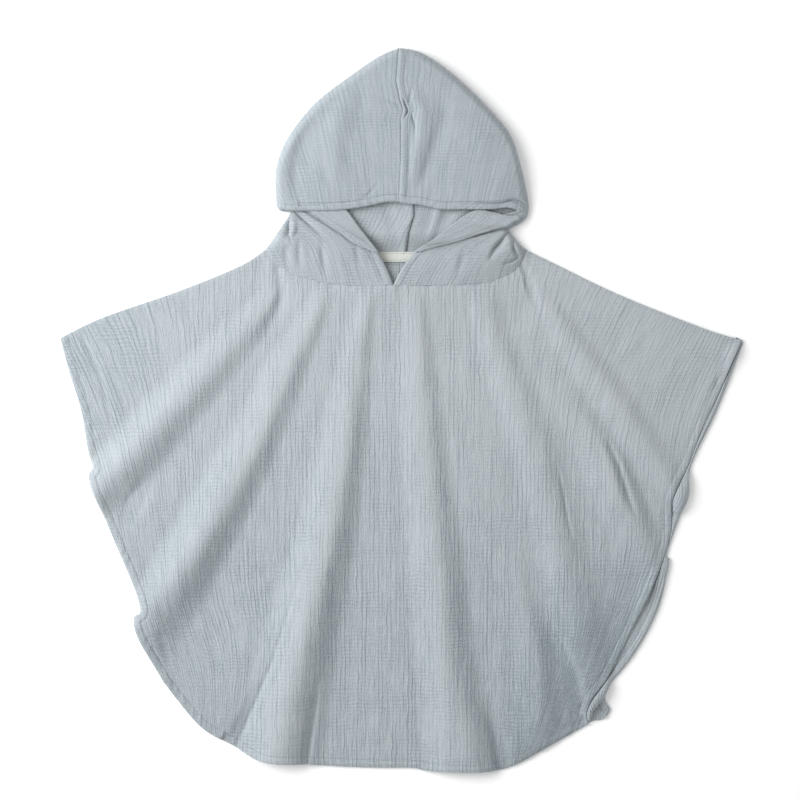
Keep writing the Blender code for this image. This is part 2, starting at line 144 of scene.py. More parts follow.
# Folds of the front panel, from the neck down: the place and height of the crest, and its reach to the left
# and to the right. Of a crest that runs to the right the left reach is the lower one, and of one that runs up
# it is the one on the right.
FOLDS = {
    "left_sleeve": [
        Crest(-124.0, 126.0, 0.0, 12.0, 10.0), Crest(-139.5, 99.5, 3.4, 20.0, 16.0),
        Crest(-154.5, 79.5, 4.3, 24.0, 20.0),
        Crest(-191.0, 39.5, 6.0, 30.0, 26.0), Crest(-228.0, -0.5, 8.5, 32.0, 30.0),
        Crest(-266.5, -42.0, 10.5, 32.0, 34.0), Crest(-308.0, -86.0, 8.5, 26.0, 30.0),
    ],
    "left_side": [
        Crest(-75.0, 122.0, 0.0, 12.0, 12.0), Crest(-85.0, 99.5, 2.8, 16.0, 16.0),
        Crest(-104.0, 60.0, 3.9, 22.0, 20.0), Crest(-114.5, 39.5, 4.8, 26.0, 23.0),
        Crest(-149.5, -40.5, 8.0, 34.0, 28.0), Crest(-193.5, -120.5, 12.0, 37.0, 33.0),
        Crest(-219.0, -160.5, 13.6, 35.0, 38.0), Crest(-262.0, -222.0, 8.0, 28.0, 46.0),
    ],
    "left_front": [
        Crest(-30.0, 120.0, 0.0, 12.0, 12.0), Crest(-36.0, 98.0, 2.0, 15.0, 13.0),
        Crest(-43.0, 60.0, 3.0, 20.0, 17.0),
        Crest(-48.0, 20.0, 4.0, 26.0, 20.0), Crest(-57.5, -40.5, 7.0, 34.0, 27.0),
        Crest(-72.5, -120.5, 9.5, 38.0, 32.0), Crest(-91.5, -200.5, 13.0, 42.0, 38.0),
        Crest(-111.0, -280.5, 15.5, 46.0, 44.0), Crest(-126.0, -362.0, 16.0, 50.0, 50.0),
    ],
    "right_front": [
        Crest(12.0, 120.0, 0.0, 14.0, 12.0), Crest(15.0, 98.0, 2.0, 18.0, 14.0),
        Crest(17.0, 60.0, 3.3, 22.0, 18.0),
        Crest(18.0, 20.0, 4.0, 26.0, 24.0), Crest(27.5, -80.5, 5.3, 30.0, 28.0),
        Crest(39.0, -200.5, 8.0, 34.0, 34.0), Crest(45.5, -280.5, 8.8, 34.0, 42.0),
        Crest(51.0, -364.0, 9.2, 36.0, 46.0),
    ],
    "right_hem": [
        Crest(58.0, -270.0, 0.0, 20.0, 24.0), Crest(70.0, -318.0, 4.0, 28.0, 28.0),
        Crest(80.0, -364.0, 6.0, 30.0, 30.0),
    ],
    "right_side": [
        Crest(81.0, 118.0, 0.0, 16.0, 16.0), Crest(86.0, 98.0, 1.8, 20.0, 20.0),
        Crest(96.0, 60.0, 2.8, 24.0, 22.0),
        Crest(119.5, -0.5, 3.7, 28.0, 26.0), Crest(143.5, -80.5, 4.6, 28.0, 30.0),
        Crest(162.0, -160.5, 5.2, 28.0, 34.0), Crest(182.0, -240.5, 5.2, 28.0, 36.0),
        Crest(194.0, -300.0, 4.4, 22.0, 30.0),
    ],
    "low_right": [
        Crest(102.0, -120.0, 0.0, 20.0, 16.0), Crest(121.0, -195.5, 2.2, 26.0, 20.0),
        Crest(132.0, -243.0, 4.4, 28.0, 22.0), Crest(136.0, -280.0, 4.8, 28.0, 26.0),
        Crest(142.0, -325.0, 2.0, 24.0, 24.0),
    ],
    "right_waist": [
        Crest(150.0, 30.0, 0.0, 20.0, 16.0), Crest(199.0, -40.5, 4.2, 28.0, 22.0),
        Crest(218.0, -82.0, 7.4, 34.0, 24.0), Crest(254.0, -158.0, 1.2, 26.0, 20.0),
    ],
    "right_sleeve": [
        Crest(134.0, 122.0, 0.0, 14.0, 14.0), Crest(148.0, 98.0, 2.0, 18.0, 17.0),
        Crest(174.0, 60.0, 3.2, 22.0, 20.0), Crest(205.0, 20.0, 3.9, 24.0, 22.0),
        Crest(245.0, -38.0, 3.4, 24.0, 22.0),
        Crest(271.0, -80.0, 2.4, 16.0, 20.0),
    ],
}

# Sections of each hood half, from the neck up to the middle of the crown: its face edge, its middle, its side
# fold, where it meets the centre back seam, and how wide a share of it is turned out
LEFT_HOOD = [
    Section(-8.5, 124.4, 9.6, -84.0, 128.0, 8.0, -136.0, 159.0, 153.0, 0.0),
    Section(-14.5, 140.0, 10.5, -78.0, 147.0, 11.0, -133.5, 161.5, 163.0, 0.0),
    Section(-24.0, 156.0, 11.0, -78.0, 165.0, 12.0, -130.5, 165.5, 176.0, 0.05),
    Section(-43.3, 181.0, 9.8, -84.0, 183.0, 10.0, -121.0, 180.0, 193.0, 0.29),
    Section(-61.0, 201.5, 8.0, -88.0, 197.0, 7.4, -112.0, 193.0, 208.0, 0.55),
    Section(-92.0, 204.0, 6.6, -101.0, 201.5, 6.0, -110.8, 197.5, 218.0, 0.50),
    Section(-116.0, 200.4, 7.5, -119.0, 200.4, 6.2, -122.2, 200.2, 228.0, 0.0),
    Section(-106.0, 198.5, 10.5, -114.5, 206.0, 10.5, -124.7, 213.0, 240.0, 0.0),
    Section(-84.0, 198.3, 11.5, -106.0, 220.0, 13.5, -124.2, 242.0, 258.0, 0.0),
    Section(-60.0, 198.9, 12.0, -88.0, 236.0, 15.5, -112.5, 271.5, 282.0, 0.0),
    Section(-38.0, 201.6, 12.4, -62.0, 254.0, 17.0, -86.0, 305.0, 308.0, 0.0),
    Section(-18.0, 205.8, 13.0, -34.0, 272.0, 17.8, -50.0, 333.0, 330.0, 0.0),
    Section(-8.0, 206.6, 13.1, -15.0, 280.0, 18.2, -21.0, 352.0, 342.0, 0.0),
    Section(-2.0, 206.0, 13.2, -2.0, 284.0, 18.4, -2.0, 360.2, 351.0, 0.0),
]
RIGHT_HOOD = [
    Section(-7.5, 124.4, 9.6, 62.0, 124.5, 8.0, 124.0, 159.0, 153.0, 0.0),
    Section(0.6, 141.0, 10.5, 64.0, 143.0, 11.0, 121.0, 161.5, 163.0, 0.0),
    Section(14.5, 157.0, 11.3, 66.0, 160.0, 12.0, 117.5, 164.5, 176.0, 0.04),
    Section(32.0, 168.0, 11.6, 72.0, 170.0, 12.4, 110.5, 173.0, 190.0, 0.38),
    Section(54.0, 185.2, 10.6, 80.0, 183.0, 10.6, 107.0, 180.0, 206.0, 0.88),
    Section(75.0, 197.4, 8.8, 95.0, 191.0, 8.8, 117.0, 185.8, 216.0, 0.88),
    Section(97.0, 193.6, 8.0, 109.0, 193.0, 7.6, 123.8, 191.5, 224.0, 0.80),
    Section(115.0, 197.6, 8.6, 120.0, 199.2, 7.8, 126.3, 199.5, 232.0, 0.0),
    Section(106.0, 201.2, 11.2, 113.0, 208.0, 11.2, 125.3, 212.0, 242.0, 0.0),
    Section(88.0, 199.6, 12.0, 106.0, 221.0, 14.0, 119.8, 238.0, 260.0, 0.0),
    Section(62.0, 199.4, 12.4, 88.0, 236.0, 15.8, 108.5, 273.0, 284.0, 0.0),
    Section(40.0, 199.2, 12.6, 64.0, 255.0, 17.0, 84.0, 303.0, 310.0, 0.0),
    Section(18.5, 203.6, 13.0, 34.0, 272.0, 17.8, 50.0, 335.0, 330.0, 0.0),
    Section(7.5, 204.4, 13.1, 13.0, 280.0, 18.2, 20.0, 355.4, 342.0, 0.0),
    Section(-2.0, 206.0, 13.2, -2.0, 284.0, 18.4, -2.0, 360.2, 351.0, 0.0),
]

# Small creases of the front panel: a negative height is a trough
FRONT_CREASES = {
    "beside_left_cuff": [
        Crest(-322.0, 74.0, 0.0, 3.0, 4.0), Crest(-312.0, 57.0, -1.6, 4.0, 6.0),
        Crest(-298.0, 20.0, -1.0, 3.0, 6.0), Crest(-288.0, -24.0, 0.0, 4.0, 6.0),
    ],
    "below_left_cuff": [
        Crest(-250.0, -62.0, 0.0, 10.0, 14.0), Crest(-268.0, -92.0, -2.4, 12.0, 16.0),
        Crest(-280.0, -122.0, 0.0, 8.0, 14.0),
    ],
    "left_shoulder": [
        Crest(-128.0, 150.0, 0.0, 5.0, 6.0), Crest(-121.0, 128.0, -1.2, 8.0, 9.0),
        Crest(-120.0, 108.0, -1.5, 10.0, 10.0), Crest(-130.0, 84.0, 0.0, 9.0, 10.0),
    ],
    "low_left": [
        Crest(-122.0, -190.0, 0.0, 30.0, 10.0), Crest(-138.0, -236.0, 2.4, 50.0, 15.0),
        Crest(-156.0, -282.0, 3.4, 60.0, 14.0), Crest(-174.0, -318.0, 2.6, 46.0, 12.0),
    ],
    "hem_hollow": [
        Crest(86.0, -300.0, 0.0, 10.0, 10.0), Crest(95.0, -330.0, -2.6, 10.0, 12.0),
        Crest(101.0, -362.0, -3.6, 12.0, 14.0),
    ],
    "low_right_hollow": [
        Crest(144.0, -214.0, 0.0, 8.0, 9.0), Crest(159.0, -240.0, -2.8, 10.0, 10.0),
        Crest(172.0, -272.0, -4.5, 12.0, 10.0), Crest(178.0, -306.0, -3.8, 12.0, 10.0),
        Crest(176.0, -326.0, -1.2, 9.0, 9.0),
    ],
    "low_right_edge": [
        Crest(258.5, -155.0, 0.0, 10.0, 4.0), Crest(251.0, -173.0, 2.6, 14.0, 5.0),
        Crest(245.5, -187.0, 3.6, 15.0, 5.0), Crest(237.0, -205.0, 2.0, 12.0, 5.0),
        Crest(227.0, -226.0, 0.0, 8.0, 4.0),
    ],
    "right_cuff_edge": [
        Crest(340.0, 68.0, 0.0, 8.0, 3.0), Crest(334.0, 57.0, 4.2, 12.0, 3.0),
        Crest(328.5, 45.0, 3.4, 12.0, 3.0), Crest(320.0, 24.0, 0.0, 8.0, 3.0),
    ],
    "right_shoulder": [
        Crest(119.0, 156.0, 0.0, 5.0, 6.0), Crest(124.0, 136.0, -1.4, 6.0, 8.0),
        Crest(131.0, 114.0, -1.4, 7.0, 8.0), Crest(142.0, 88.0, 0.0, 8.0, 9.0),
    ],
}
# Sharp creases of the front panel, pressed in by the folds that lie over them
FRONT_FOLD_LINES = {
    "left_front_lap": [
        Crest(-88.0, -135.0, 0.0, 3.0, 3.0), Crest(-101.0, -168.0, -0.5, 4.0, 4.0),
        Crest(-114.0, -204.0, -1.1, 4.0, 5.0), Crest(-128.0, -248.0, -1.7, 4.0, 6.0),
        Crest(-146.0, -292.0, -2.1, 5.0, 7.0), Crest(-162.0, -328.0, -2.1, 5.0, 7.0),
        Crest(-171.0, -346.0, -2.0, 5.0, 7.0),
    ],
    "left_front_valley": [
        Crest(-80.0, -262.0, 0.0, 8.0, 3.0), Crest(-85.0, -292.0, -1.6, 12.0, 4.0),
        Crest(-89.0, -322.0, -3.2, 14.0, 4.0), Crest(-95.0, -361.0, -4.4, 16.0, 5.0),
    ],
    "waist_streak": [
        Crest(203.0, -26.0, 0.0, 8.0, 4.0), Crest(216.0, -54.0, -3.4, 14.0, 5.0),
        Crest(225.5, -84.0, -4.0, 16.0, 6.0), Crest(235.0, -112.0, 0.0, 10.0, 5.0),
    ],
    "right_side_streak": [
        Crest(154.0, -52.0, 0.0, 4.0, 3.0), Crest(160.0, -74.0, -1.0, 6.0, 3.0),
        Crest(164.0, -96.0, -1.4, 7.0, 3.0), Crest(168.0, -118.0, -0.8, 6.0, 3.0),
        Crest(172.0, -134.0, 0.0, 4.0, 3.0),
    ],
    "low_right_streak": [
        Crest(163.0, -246.0, 0.0, 4.0, 3.0), Crest(170.5, -268.0, -2.4, 7.0, 4.0),
        Crest(176.5, -294.0, -2.8, 8.0, 4.0), Crest(178.0, -322.0, -1.2, 6.0, 4.0),
    ],
    "beside_right_cuff": [
        Crest(324.0, 56.0, 0.0, 2.0, 4.0), Crest(321.5, 40.0, -1.6, 2.2, 6.0),
        Crest(314.5, 27.0, -1.8, 2.2, 6.0), Crest(311.0, 18.0, -0.8, 2.2, 5.0),
        Crest(300.5, -11.5, -0.6, 2.2, 4.0), Crest(288.0, -38.0, 0.0, 2.2, 4.0),
    ],
}
# Creases in the collar and crown of the hood
HOOD_CREASES = {
    "left_collar_crest": [
        Crest(-108.5, 192.0, 0.0, 3.0, 4.0), Crest(-107.4, 180.0, 1.8, 3.0, 5.0),
        Crest(-111.5, 172.0, 1.2, 3.0, 5.0), Crest(-116.0, 160.0, 0.0, 4.0, 5.0),
    ],
    "left_collar_soft_1": [
        Crest(-113.0, 170.0, 0.0, 5.0, 6.0), Crest(-115.0, 156.0, -1.2, 5.0, 7.0),
        Crest(-113.0, 140.0, 0.0, 5.0, 6.0),
    ],
    "left_collar_soft_2": [
        Crest(-101.0, 172.0, 0.0, 4.0, 5.0), Crest(-102.5, 156.0, -1.3, 4.0, 6.0),
        Crest(-100.0, 136.0, 0.0, 4.0, 5.0),
    ],
    "left_collar_soft_3": [
        Crest(-80.0, 170.0, 0.0, 4.0, 5.0), Crest(-78.8, 154.0, -1.4, 4.0, 7.0),
        Crest(-76.0, 134.0, -0.6, 4.0, 6.0),
    ],
    "left_collar_soft_4": [
        Crest(-46.0, 166.0, 0.0, 4.0, 5.0), Crest(-44.5, 156.0, -1.2, 4.0, 6.0),
        Crest(-42.0, 140.0, 0.0, 4.0, 5.0),
    ],
    "right_collar_soft": [
        Crest(64.0, 162.0, 0.0, 5.0, 6.0), Crest(59.0, 148.0, -1.2, 5.0, 7.0),
        Crest(55.0, 132.0, 0.0, 5.0, 6.0),
    ],
    "crown_left_dip": [
        Crest(-78.0, 292.0, 0.0, 10.0, 16.0), Crest(-96.0, 268.0, -2.4, 12.0, 22.0),
        Crest(-104.0, 240.0, -2.8, 12.0, 24.0), Crest(-103.0, 214.0, -1.2, 12.0, 20.0),
    ],
    "crown_left_swell": [
        Crest(-40.0, 330.0, 0.0, 12.0, 14.0), Crest(-58.0, 296.0, 1.8, 16.0, 18.0),
        Crest(-66.0, 258.0, 1.8, 18.0, 18.0), Crest(-60.0, 218.0, 0.0, 14.0, 16.0),
    ],
    "crown_right_swell": [
        Crest(9.0, 326.0, 0.0, 6.0, 10.0), Crest(17.0, 300.0, 1.8, 9.0, 12.0),
        Crest(19.0, 276.0, 2.3, 10.0, 14.0), Crest(13.0, 250.0, 1.9, 8.0, 12.0),
        Crest(9.0, 220.0, 0.0, 6.0, 9.0),
    ],
    "crown_right_dip": [
        Crest(34.0, 320.0, 0.0, 8.0, 12.0), Crest(40.0, 292.0, -1.2, 10.0, 16.0),
        Crest(33.0, 262.0, -1.3, 9.0, 18.0), Crest(24.0, 236.0, -1.2, 8.0, 14.0),
        Crest(16.0, 214.0, 0.0, 6.0, 10.0),
    ],
}
# Sharp folds of the collar and crown: beside the turned hem, at the loops and round the pucker in the crown
HOOD_FOLD_LINES = {
    "left_collar_dent": [
        Crest(-110.0, 197.0, 0.0, 3.0, 2.5), Crest(-112.0, 186.0, -4.0, 7.0, 3.0),
        Crest(-112.0, 176.0, -4.4, 8.0, 3.0), Crest(-109.5, 166.0, 0.0, 5.0, 2.5),
    ],
    "left_collar_fold": [
        Crest(-107.5, 199.0, 0.0, 3.0, 4.0), Crest(-101.7, 192.2, -3.4, 3.0, 6.0),
        Crest(-94.1, 185.5, -2.8, 3.0, 8.0), Crest(-85.5, 177.8, -1.4, 3.0, 8.0),
        Crest(-76.0, 169.0, 0.0, 3.0, 5.0),
    ],
    "beside_left_flap": [
        Crest(-100.0, 199.0, 0.0, 3.0, 6.0), Crest(-91.0, 194.0, -2.4, 3.0, 9.0),
        Crest(-79.5, 187.0, -2.8, 3.0, 11.0), Crest(-60.5, 174.5, -2.4, 3.0, 9.0),
        Crest(-49.0, 166.0, -2.4, 3.0, 7.0), Crest(-30.0, 157.5, -1.4, 3.0, 4.0),
    ],
    "beside_right_flap": [
        Crest(30.0, 162.0, 0.0, 3.0, 5.0), Crest(44.0, 167.0, -2.2, 3.0, 8.0),
        Crest(71.0, 172.5, -2.4, 3.0, 9.0), Crest(90.0, 177.0, -2.0, 3.0, 7.0),
        Crest(106.0, 179.0, 0.0, 3.0, 4.0),
    ],
    "left_v_hem": [
        Crest(-34.0, 160.0, 0.0, 2.0, 1.6), Crest(-26.5, 147.0, -0.7, 2.0, 1.4),
        Crest(-17.0, 126.0, -0.7, 2.0, 1.4),
    ],
    "right_collar_fold": [
        Crest(108.0, 181.0, 0.0, 3.0, 3.0), Crest(104.2, 174.5, -3.0, 3.0, 6.0),
        Crest(97.0, 166.0, -6.4, 3.5, 9.0), Crest(91.5, 159.0, -4.8, 3.5, 9.0),
        Crest(86.5, 147.0, 0.0, 3.0, 6.0),
    ],
    "right_collar_spot": [
        Crest(111.0, 169.0, 0.0, 3.0, 3.0), Crest(111.5, 161.0, -4.2, 3.6, 4.2),
        Crest(115.2, 153.0, -2.2, 3.4, 3.4), Crest(116.5, 149.0, 0.0, 2.4, 2.4),
    ],
    "right_collar_line": [
        Crest(118.5, 154.0, 0.0, 3.0, 2.4), Crest(112.5, 149.0, -2.8, 3.4, 2.6),
        Crest(106.0, 146.0, -2.4, 3.4, 2.6), Crest(98.0, 144.6, 0.0, 3.0, 2.4),
    ],
    "crown_pucker": [
        Crest(1.5, 309.0, 0.0, 2.0, 2.2), Crest(1.5, 302.0, -4.2, 2.8, 3.2),
        Crest(2.2, 294.0, -4.2, 2.6, 3.2), Crest(0.5, 288.0, 0.0, 2.0, 2.2),
    ],
    "crown_pucker_up": [
        Crest(3.0, 301.0, 0.0, 2.0, 2.0), Crest(6.0, 306.0, -2.2, 2.4, 2.6),
        Crest(9.0, 311.0, -1.8, 2.6, 2.8), Crest(13.0, 322.0, 0.0, 2.0, 2.0),
    ],
    "crown_pucker_left": [
        Crest(-1.0, 300.0, 0.0, 2.0, 2.0), Crest(-5.0, 302.0, -2.0, 2.4, 2.6),
        Crest(-10.0, 304.0, -1.4, 2.8, 3.0), Crest(-20.0, 310.0, 0.0, 2.4, 2.4),
    ],
    "crown_pucker_down": [
        Crest(6.0, 296.0, 0.0, 1.8, 2.0), Crest(9.0, 290.0, -2.4, 2.4, 2.8),
        Crest(12.0, 282.0, -1.8, 2.6, 3.0), Crest(13.0, 268.0, 0.0, 2.0, 2.0),
    ],
    "crown_hem_fold": [
        Crest(-40.0, 210.5, 0.0, 2.0, 2.4), Crest(-34.0, 213.0, -1.6, 2.2, 2.6),
        Crest(-28.0, 219.0, -0.9, 2.4, 2.6), Crest(-22.0, 226.0, 0.0, 2.4, 2.6),
    ],
    "crown_corner_fold": [
        Crest(66.0, 205.2, 0.0, 5.0, 2.0), Crest(84.0, 205.4, -1.6, 6.0, 2.0),
        Crest(100.0, 206.0, -2.6, 8.0, 2.4), Crest(110.0, 209.0, -3.2, 9.0, 2.6),
        Crest(119.0, 207.4, -3.0, 7.0, 2.6), Crest(124.0, 203.0, -1.2, 4.0, 2.4),
    ],
}
# Soft folds of the back of the hood, seen through the face opening
INNER_CREASES = {
    "left": [
        Crest(-26.0, 214.0, 0.0, 7.0, 8.0), Crest(-23.0, 202.0, -1.4, 7.0, 8.0),
        Crest(-18.0, 186.0, -1.0, 7.0, 8.0), Crest(-12.0, 160.0, 0.0, 6.0, 7.0),
    ],
    "right_near": [
        Crest(38.0, 216.0, 0.0, 7.0, 9.0), Crest(35.0, 204.0, 1.8, 7.0, 9.0),
        Crest(30.0, 190.0, 1.4, 7.0, 9.0), Crest(20.0, 160.0, 0.0, 6.0, 7.0),
    ],
    "right_far": [
        Crest(70.0, 214.0, 0.0, 8.0, 9.0), Crest(64.0, 203.0, 2.0, 8.0, 9.0),
        Crest(54.0, 190.0, 1.6, 8.0, 9.0), Crest(36.0, 166.0, 0.0, 6.0, 7.0),
    ],
}

# Rolls of the back panel's hem where it shows past the front panel
BACK_ROLLS = {
    "waist": [
        Crest(289.5, -60.0, 0.0, 4.0, 4.0), Crest(285.0, -71.0, 5.0, 7.0, 4.5),
        Crest(281.0, -84.0, 7.6, 9.0, 6.5), Crest(278.0, -94.0, 7.6, 8.0, 6.0),
        Crest(276.0, -100.0, 6.0, 5.0, 5.0),
    ],
    "below_waist": [
        Crest(266.5, -147.0, 0.0, 3.0, 3.0), Crest(263.0, -158.0, 2.8, 5.0, 4.0),
        Crest(257.5, -174.0, 2.4, 4.5, 5.0), Crest(251.0, -193.0, 1.2, 4.0, 5.0),
        Crest(241.0, -214.0, 0.0, 4.0, 4.0),
    ],
    "corner_lobe": [
        Crest(207.5, -264.0, 0.0, 4.0, 3.0), Crest(204.0, -274.0, 6.5, 5.5, 5.0),
        Crest(199.0, -283.0, 8.4, 6.0, 5.5), Crest(191.5, -293.0, 8.6, 6.0, 5.5),
        Crest(187.8, -301.0, 7.4, 4.0, 3.8), Crest(186.5, -309.0, 4.0, 2.4, 2.6),
    ],
}
# The centre seams of the crown and of the hood's back, from the bottom up
CROWN_SEAM = [
    Point(-2.0, 204.0), Point(-2.2, 213.5), Point(-0.5, 245.5), Point(-0.5, 288.0), Point(2.0, 297.5),
    Point(-1.5, 308.5), Point(-5.0, 326.0), Point(-3.2, 352.0), Point(-2.0, 362.0),
]
BACK_SEAM = [
    Point(3.0, 152.0), Point(4.8, 158.5), Point(7.0, 176.0), Point(9.5, 184.0), Point(12.2, 193.0),
    Point(12.2, 206.0), Point(10.0, 240.0), Point(-2.0, 351.0),
]

# Patterns of the gauze: its threads, how long its ribs and puckers run, the patches that the puckers come in,
# and over what length and how far its grain wanders
THREADS = (1.2, 2.0)
RIB_RUN, PUCKER_RUN, PUCKER_PATCH = 150.0, 16.0, 34.0
WANDER_OVER, WANDER_BY = 24.0, 3.2

# How the hood's cloth differs from the panels'
COLLAR_END = 6.5  # section of a hood half where the collar becomes the crown
CROWN_FAN, INNER_LEAN = 0.0025, 0.3  # how the ribs fan out per millimetre up the crown and lean inside it
HOOD_PRESSED = 0.24  # how much smoother than the collar the crown is pressed, which also scales the painted shade on its colour
HOOD_PAINTED_SHADE = 0.9  # how much painted shade that puts on the crown's colour
HOOD_RIB_WIDTH, HOOD_RIB_DEPTH, HOOD_PUCKERS = 0.85, 0.34, 1.3  # shares of the panels' own
LAYERS_APART, HALVES_APART = 250.0, 400.0  # shifts on the grain, so that no layer repeats another's ribs

# Stitching and tape
CROWN_STITCH_OFF = 6.2  # from the crown's centre seam to its row of stitches
CROWN_BOTTOM, CROWN_TOP = 212.0, 352.0  # y of the ends of that row
CROWN_HEM_START = 7.2  # section of a hood half where the stitches of the crown's hem start
TAPE_X, TAPE_Y, TAPE_Z = -4.0, 152.4, 3.0  # the middle of the tape's upper side
TAPE_LENGTH, TAPE_WALL, TAPE_SAG = 168.0, 0.8, 0.96
TAPE_STITCHES = (-3.2, 3.4)  # y of the tape's two rows of stitches, from its middle
SEWN_IN, SEWN_IN_BACK, SEWN_IN_SEAM = -0.16, -0.12, -0.05  # how deep a thread is pulled into the cloth

# Grids of the visible meshes
FRONT_COLUMNS, FRONT_ROWS = (110, 240, 102), 200
COLUMN_SHARES, HEM_SHARES = (0.0, 0.25, 0.75, 1.0), (0.0, 0.13, 0.9, 1.0)
BACK_COLUMNS, BACK_STRIP_COLUMNS = 30, 60
BACK_ROWS, BACK_ROW_SHARES = (0, 40, 110, 230, 340), (0.0, 0.3, 0.46, 0.88, 1.0)
HOOD_ROWS = 250
HOOD_TOP_COLUMNS, HOOD_UNDER_COLUMNS, TURNED_COLUMNS = 84, 44, 26
SIDE_STEPS = (0.972, 0.982, 0.99, 0.995, 0.9985, 1.0)  # columns close to the hood's side fold, above it,
FOLD_STEPS = (0.002, 0.005, 0.01, 0.018)  # below it,
TURN_STEPS = (-0.17, -0.34, -0.5, -0.67, -0.84)  # and round the fold of the turned-out hem
TAPE_COLUMNS, TAPE_ROWS = 168, 12
CURVE_SAMPLES, CREST_SAMPLES, NECK_SAMPLES, HOOD_SAMPLES, LONG_SAMPLES = 600, 160, 200, 1500, 2000
STEP_ACROSS, STEP_ALONG = 0.02, 0.002  # steps over which the slopes of the hood are taken
BY_SEAM = 0.0005  # share of a sheet at which an extra row keeps its seam crisp
AT_ONCE = 8192  # points whose nearest sample is looked for together
ABOVE_ALL = 0.1  # in metres, a height over every piece

# The stage, in metres
TABLE_SIZE, TABLE_Z = 9.0, -0.0002
CAMERA_X, CAMERA_Y = -0.0015, 0.0095
KEY_PLACE, KEY_SIZE = (-1.28, 0.36, 0.93), 1.4
SENSOR = 36.0  # width of the camera's sensor, in its own millimetres

WAVE_UNIT = np.pi / 10  # size at which Blender's wave texture repeats once in a unit
KNOTS = 256  # knots of a cloud, each way, before it repeats


def linear(code):
    """An sRGB hex colour as linear red, green and blue."""
    shares = [int(code[k:k + 2], 16) / 255 for k in (1, 3, 5)]
    return [s / 12.92 if s <= 0.04045 else ((s + 0.055) / 1.055) ** 2.4 for s in shares]


# Curves and relief


def along(rows, share):
    """The row at each share from 0 to 1 of a table, on a smooth curve through all its columns."""
    table = np.array(rows, float)
    last = len(table) - 1
    place = np.clip(np.atleast_1d(share), 0.0, 1.0) * last
    index = np.minimum(place.astype(int), last - 1)
    part = (place - index)[:, None]
    before, here = table[np.maximum(index - 1, 0)], table[index]
    after, beyond = table[index + 1], table[np.minimum(index + 2, last)]
    slope_in, slope_out = (after - before) / 2, (beyond - here) / 2
    square, cube = part**2, part**3
    return (
        (2 * cube - 3 * square + 1) * here
        + (cube - 2 * square + part) * slope_in
        + (3 * square - 2 * cube) * after
        + (cube - square) * slope_out
    )


def lengths(line):
    """How far along a line of points each of them is."""
    return np.concatenate([[0.0], np.cumsum(np.linalg.norm(np.diff(line, axis=0), axis=1))])


def spread(line, shares):
    """The points at these shares of the length of a line of x and y."""
    way = lengths(line)
    return np.stack([np.interp(shares, way / way[-1], line[:, k]) for k in range(2)], axis=-1)


def even_points(rows, shares):
    """Points at each share of the length of the smooth curve through rows of x and y."""
    return spread(along(rows, np.linspace(0.0, 1.0, CURVE_SAMPLES)), shares)


def evenly(rows, count):
    """The ends of this many equal stretches of the smooth curve through rows of x and y."""
    return even_points(rows, np.linspace(0.0, 1.0, count + 1))


def join(*lines):
    """Lines of points in a row, each starting where the last one ends."""
    return np.concatenate([lines[0]] + [line[1:] for line in lines[1:]])


def ramp(value, low, high):
    """0 below low, 1 above high, and a smooth rise between."""
    share = np.clip((value - low) / (high - low), 0.0, 1.0)
    return share**2 * (3 - 2 * share)


def ramp_area(value, low, high):
    """The area under that ramp, up to the value."""
    share = np.clip((value - low) / (high - low), 0.0, 1.0)
    return (high - low) * (share**3 - share**4 / 2) + np.maximum(value - high, 0.0)


def bell(value, width):
    """1 at nought, falling off to both sides over about the width."""
    return np.exp(-((value / width) ** 2))


def cloud(u, v, seed):
    """Smooth uneven swells from -1 to 1, about a unit across in u and v. Each use has a seed of its own."""
    knots = np.random.default_rng(seed).uniform(-1.0, 1.0, (KNOTS, KNOTS))
    column, row = np.floor(u).astype(int), np.floor(v).astype(int)
    across, down = u - column, v - row
    across, down = across**2 * (3 - 2 * across), down**2 * (3 - 2 * down)
    column, row = column % KNOTS, row % KNOTS
    column_after, row_after = (column + 1) % KNOTS, (row + 1) % KNOTS
    near = knots[column, row] * (1 - across) + knots[column_after, row] * across
    far = knots[column, row_after] * (1 - across) + knots[column_after, row_after] * across
    return near * (1 - down) + far * down


def beside(x, y, line):
    """How far points lie off a line, and its nearest sample. The distance is positive on the right of the
    line's run, and past its ends the whole distance to the end counts."""
    flat_x, flat_y = np.ravel(x), np.ravel(y)
    near = np.empty(flat_x.size, int)
    for start in range(0, flat_x.size, AT_ONCE):
        part = slice(start, start + AT_ONCE)
        gap = (flat_x[part, None] - line[:, 0]) ** 2 + (flat_y[part, None] - line[:, 1]) ** 2
        near[part] = gap.argmin(axis=1)
    near = near.reshape(np.shape(x))
    way = np.gradient(line[:, :2], axis=0)
    way /= np.linalg.norm(way, axis=1)[:, None]
    off_x, off_y = x - line[near, 0], y - line[near, 1]
    across = off_x * way[near, 1] - off_y * way[near, 0]
    at_end = (near == 0) | (near == len(line) - 1)
    side = np.where(across < 0, -1.0, 1.0)
    return np.where(at_end, side * np.hypot(off_x, off_y), across), near


def soft(share):
    """The profile of a soft fold, from 1 at its crest to 0 at its reach."""
    return np.cos(np.pi / 2 * share) ** 2


def rounded(share):
    """The profile of a rolled edge."""
    return np.sqrt(1 - share**2)


def sharp(share):
    """The profile of creases that are pressed in sharply."""
    return (1 - share) ** 2


def crest_relief(x, y, folds, profile=soft):
    """The height of a table of folds or creases over each point."""
    lift = np.zeros(np.shape(x))
    for crests in folds.values():
        line = along(crests, np.linspace(0.0, 1.0, CREST_SAMPLES))
        across, near = beside(x, y, line)
        height, left, right = (line[near, k] for k in (2, 3, 4))
        reach = np.where(across > 0, left, right)
        lift += height * profile(np.clip(np.abs(across) / reach, 0.0, 1.0))
    return lift


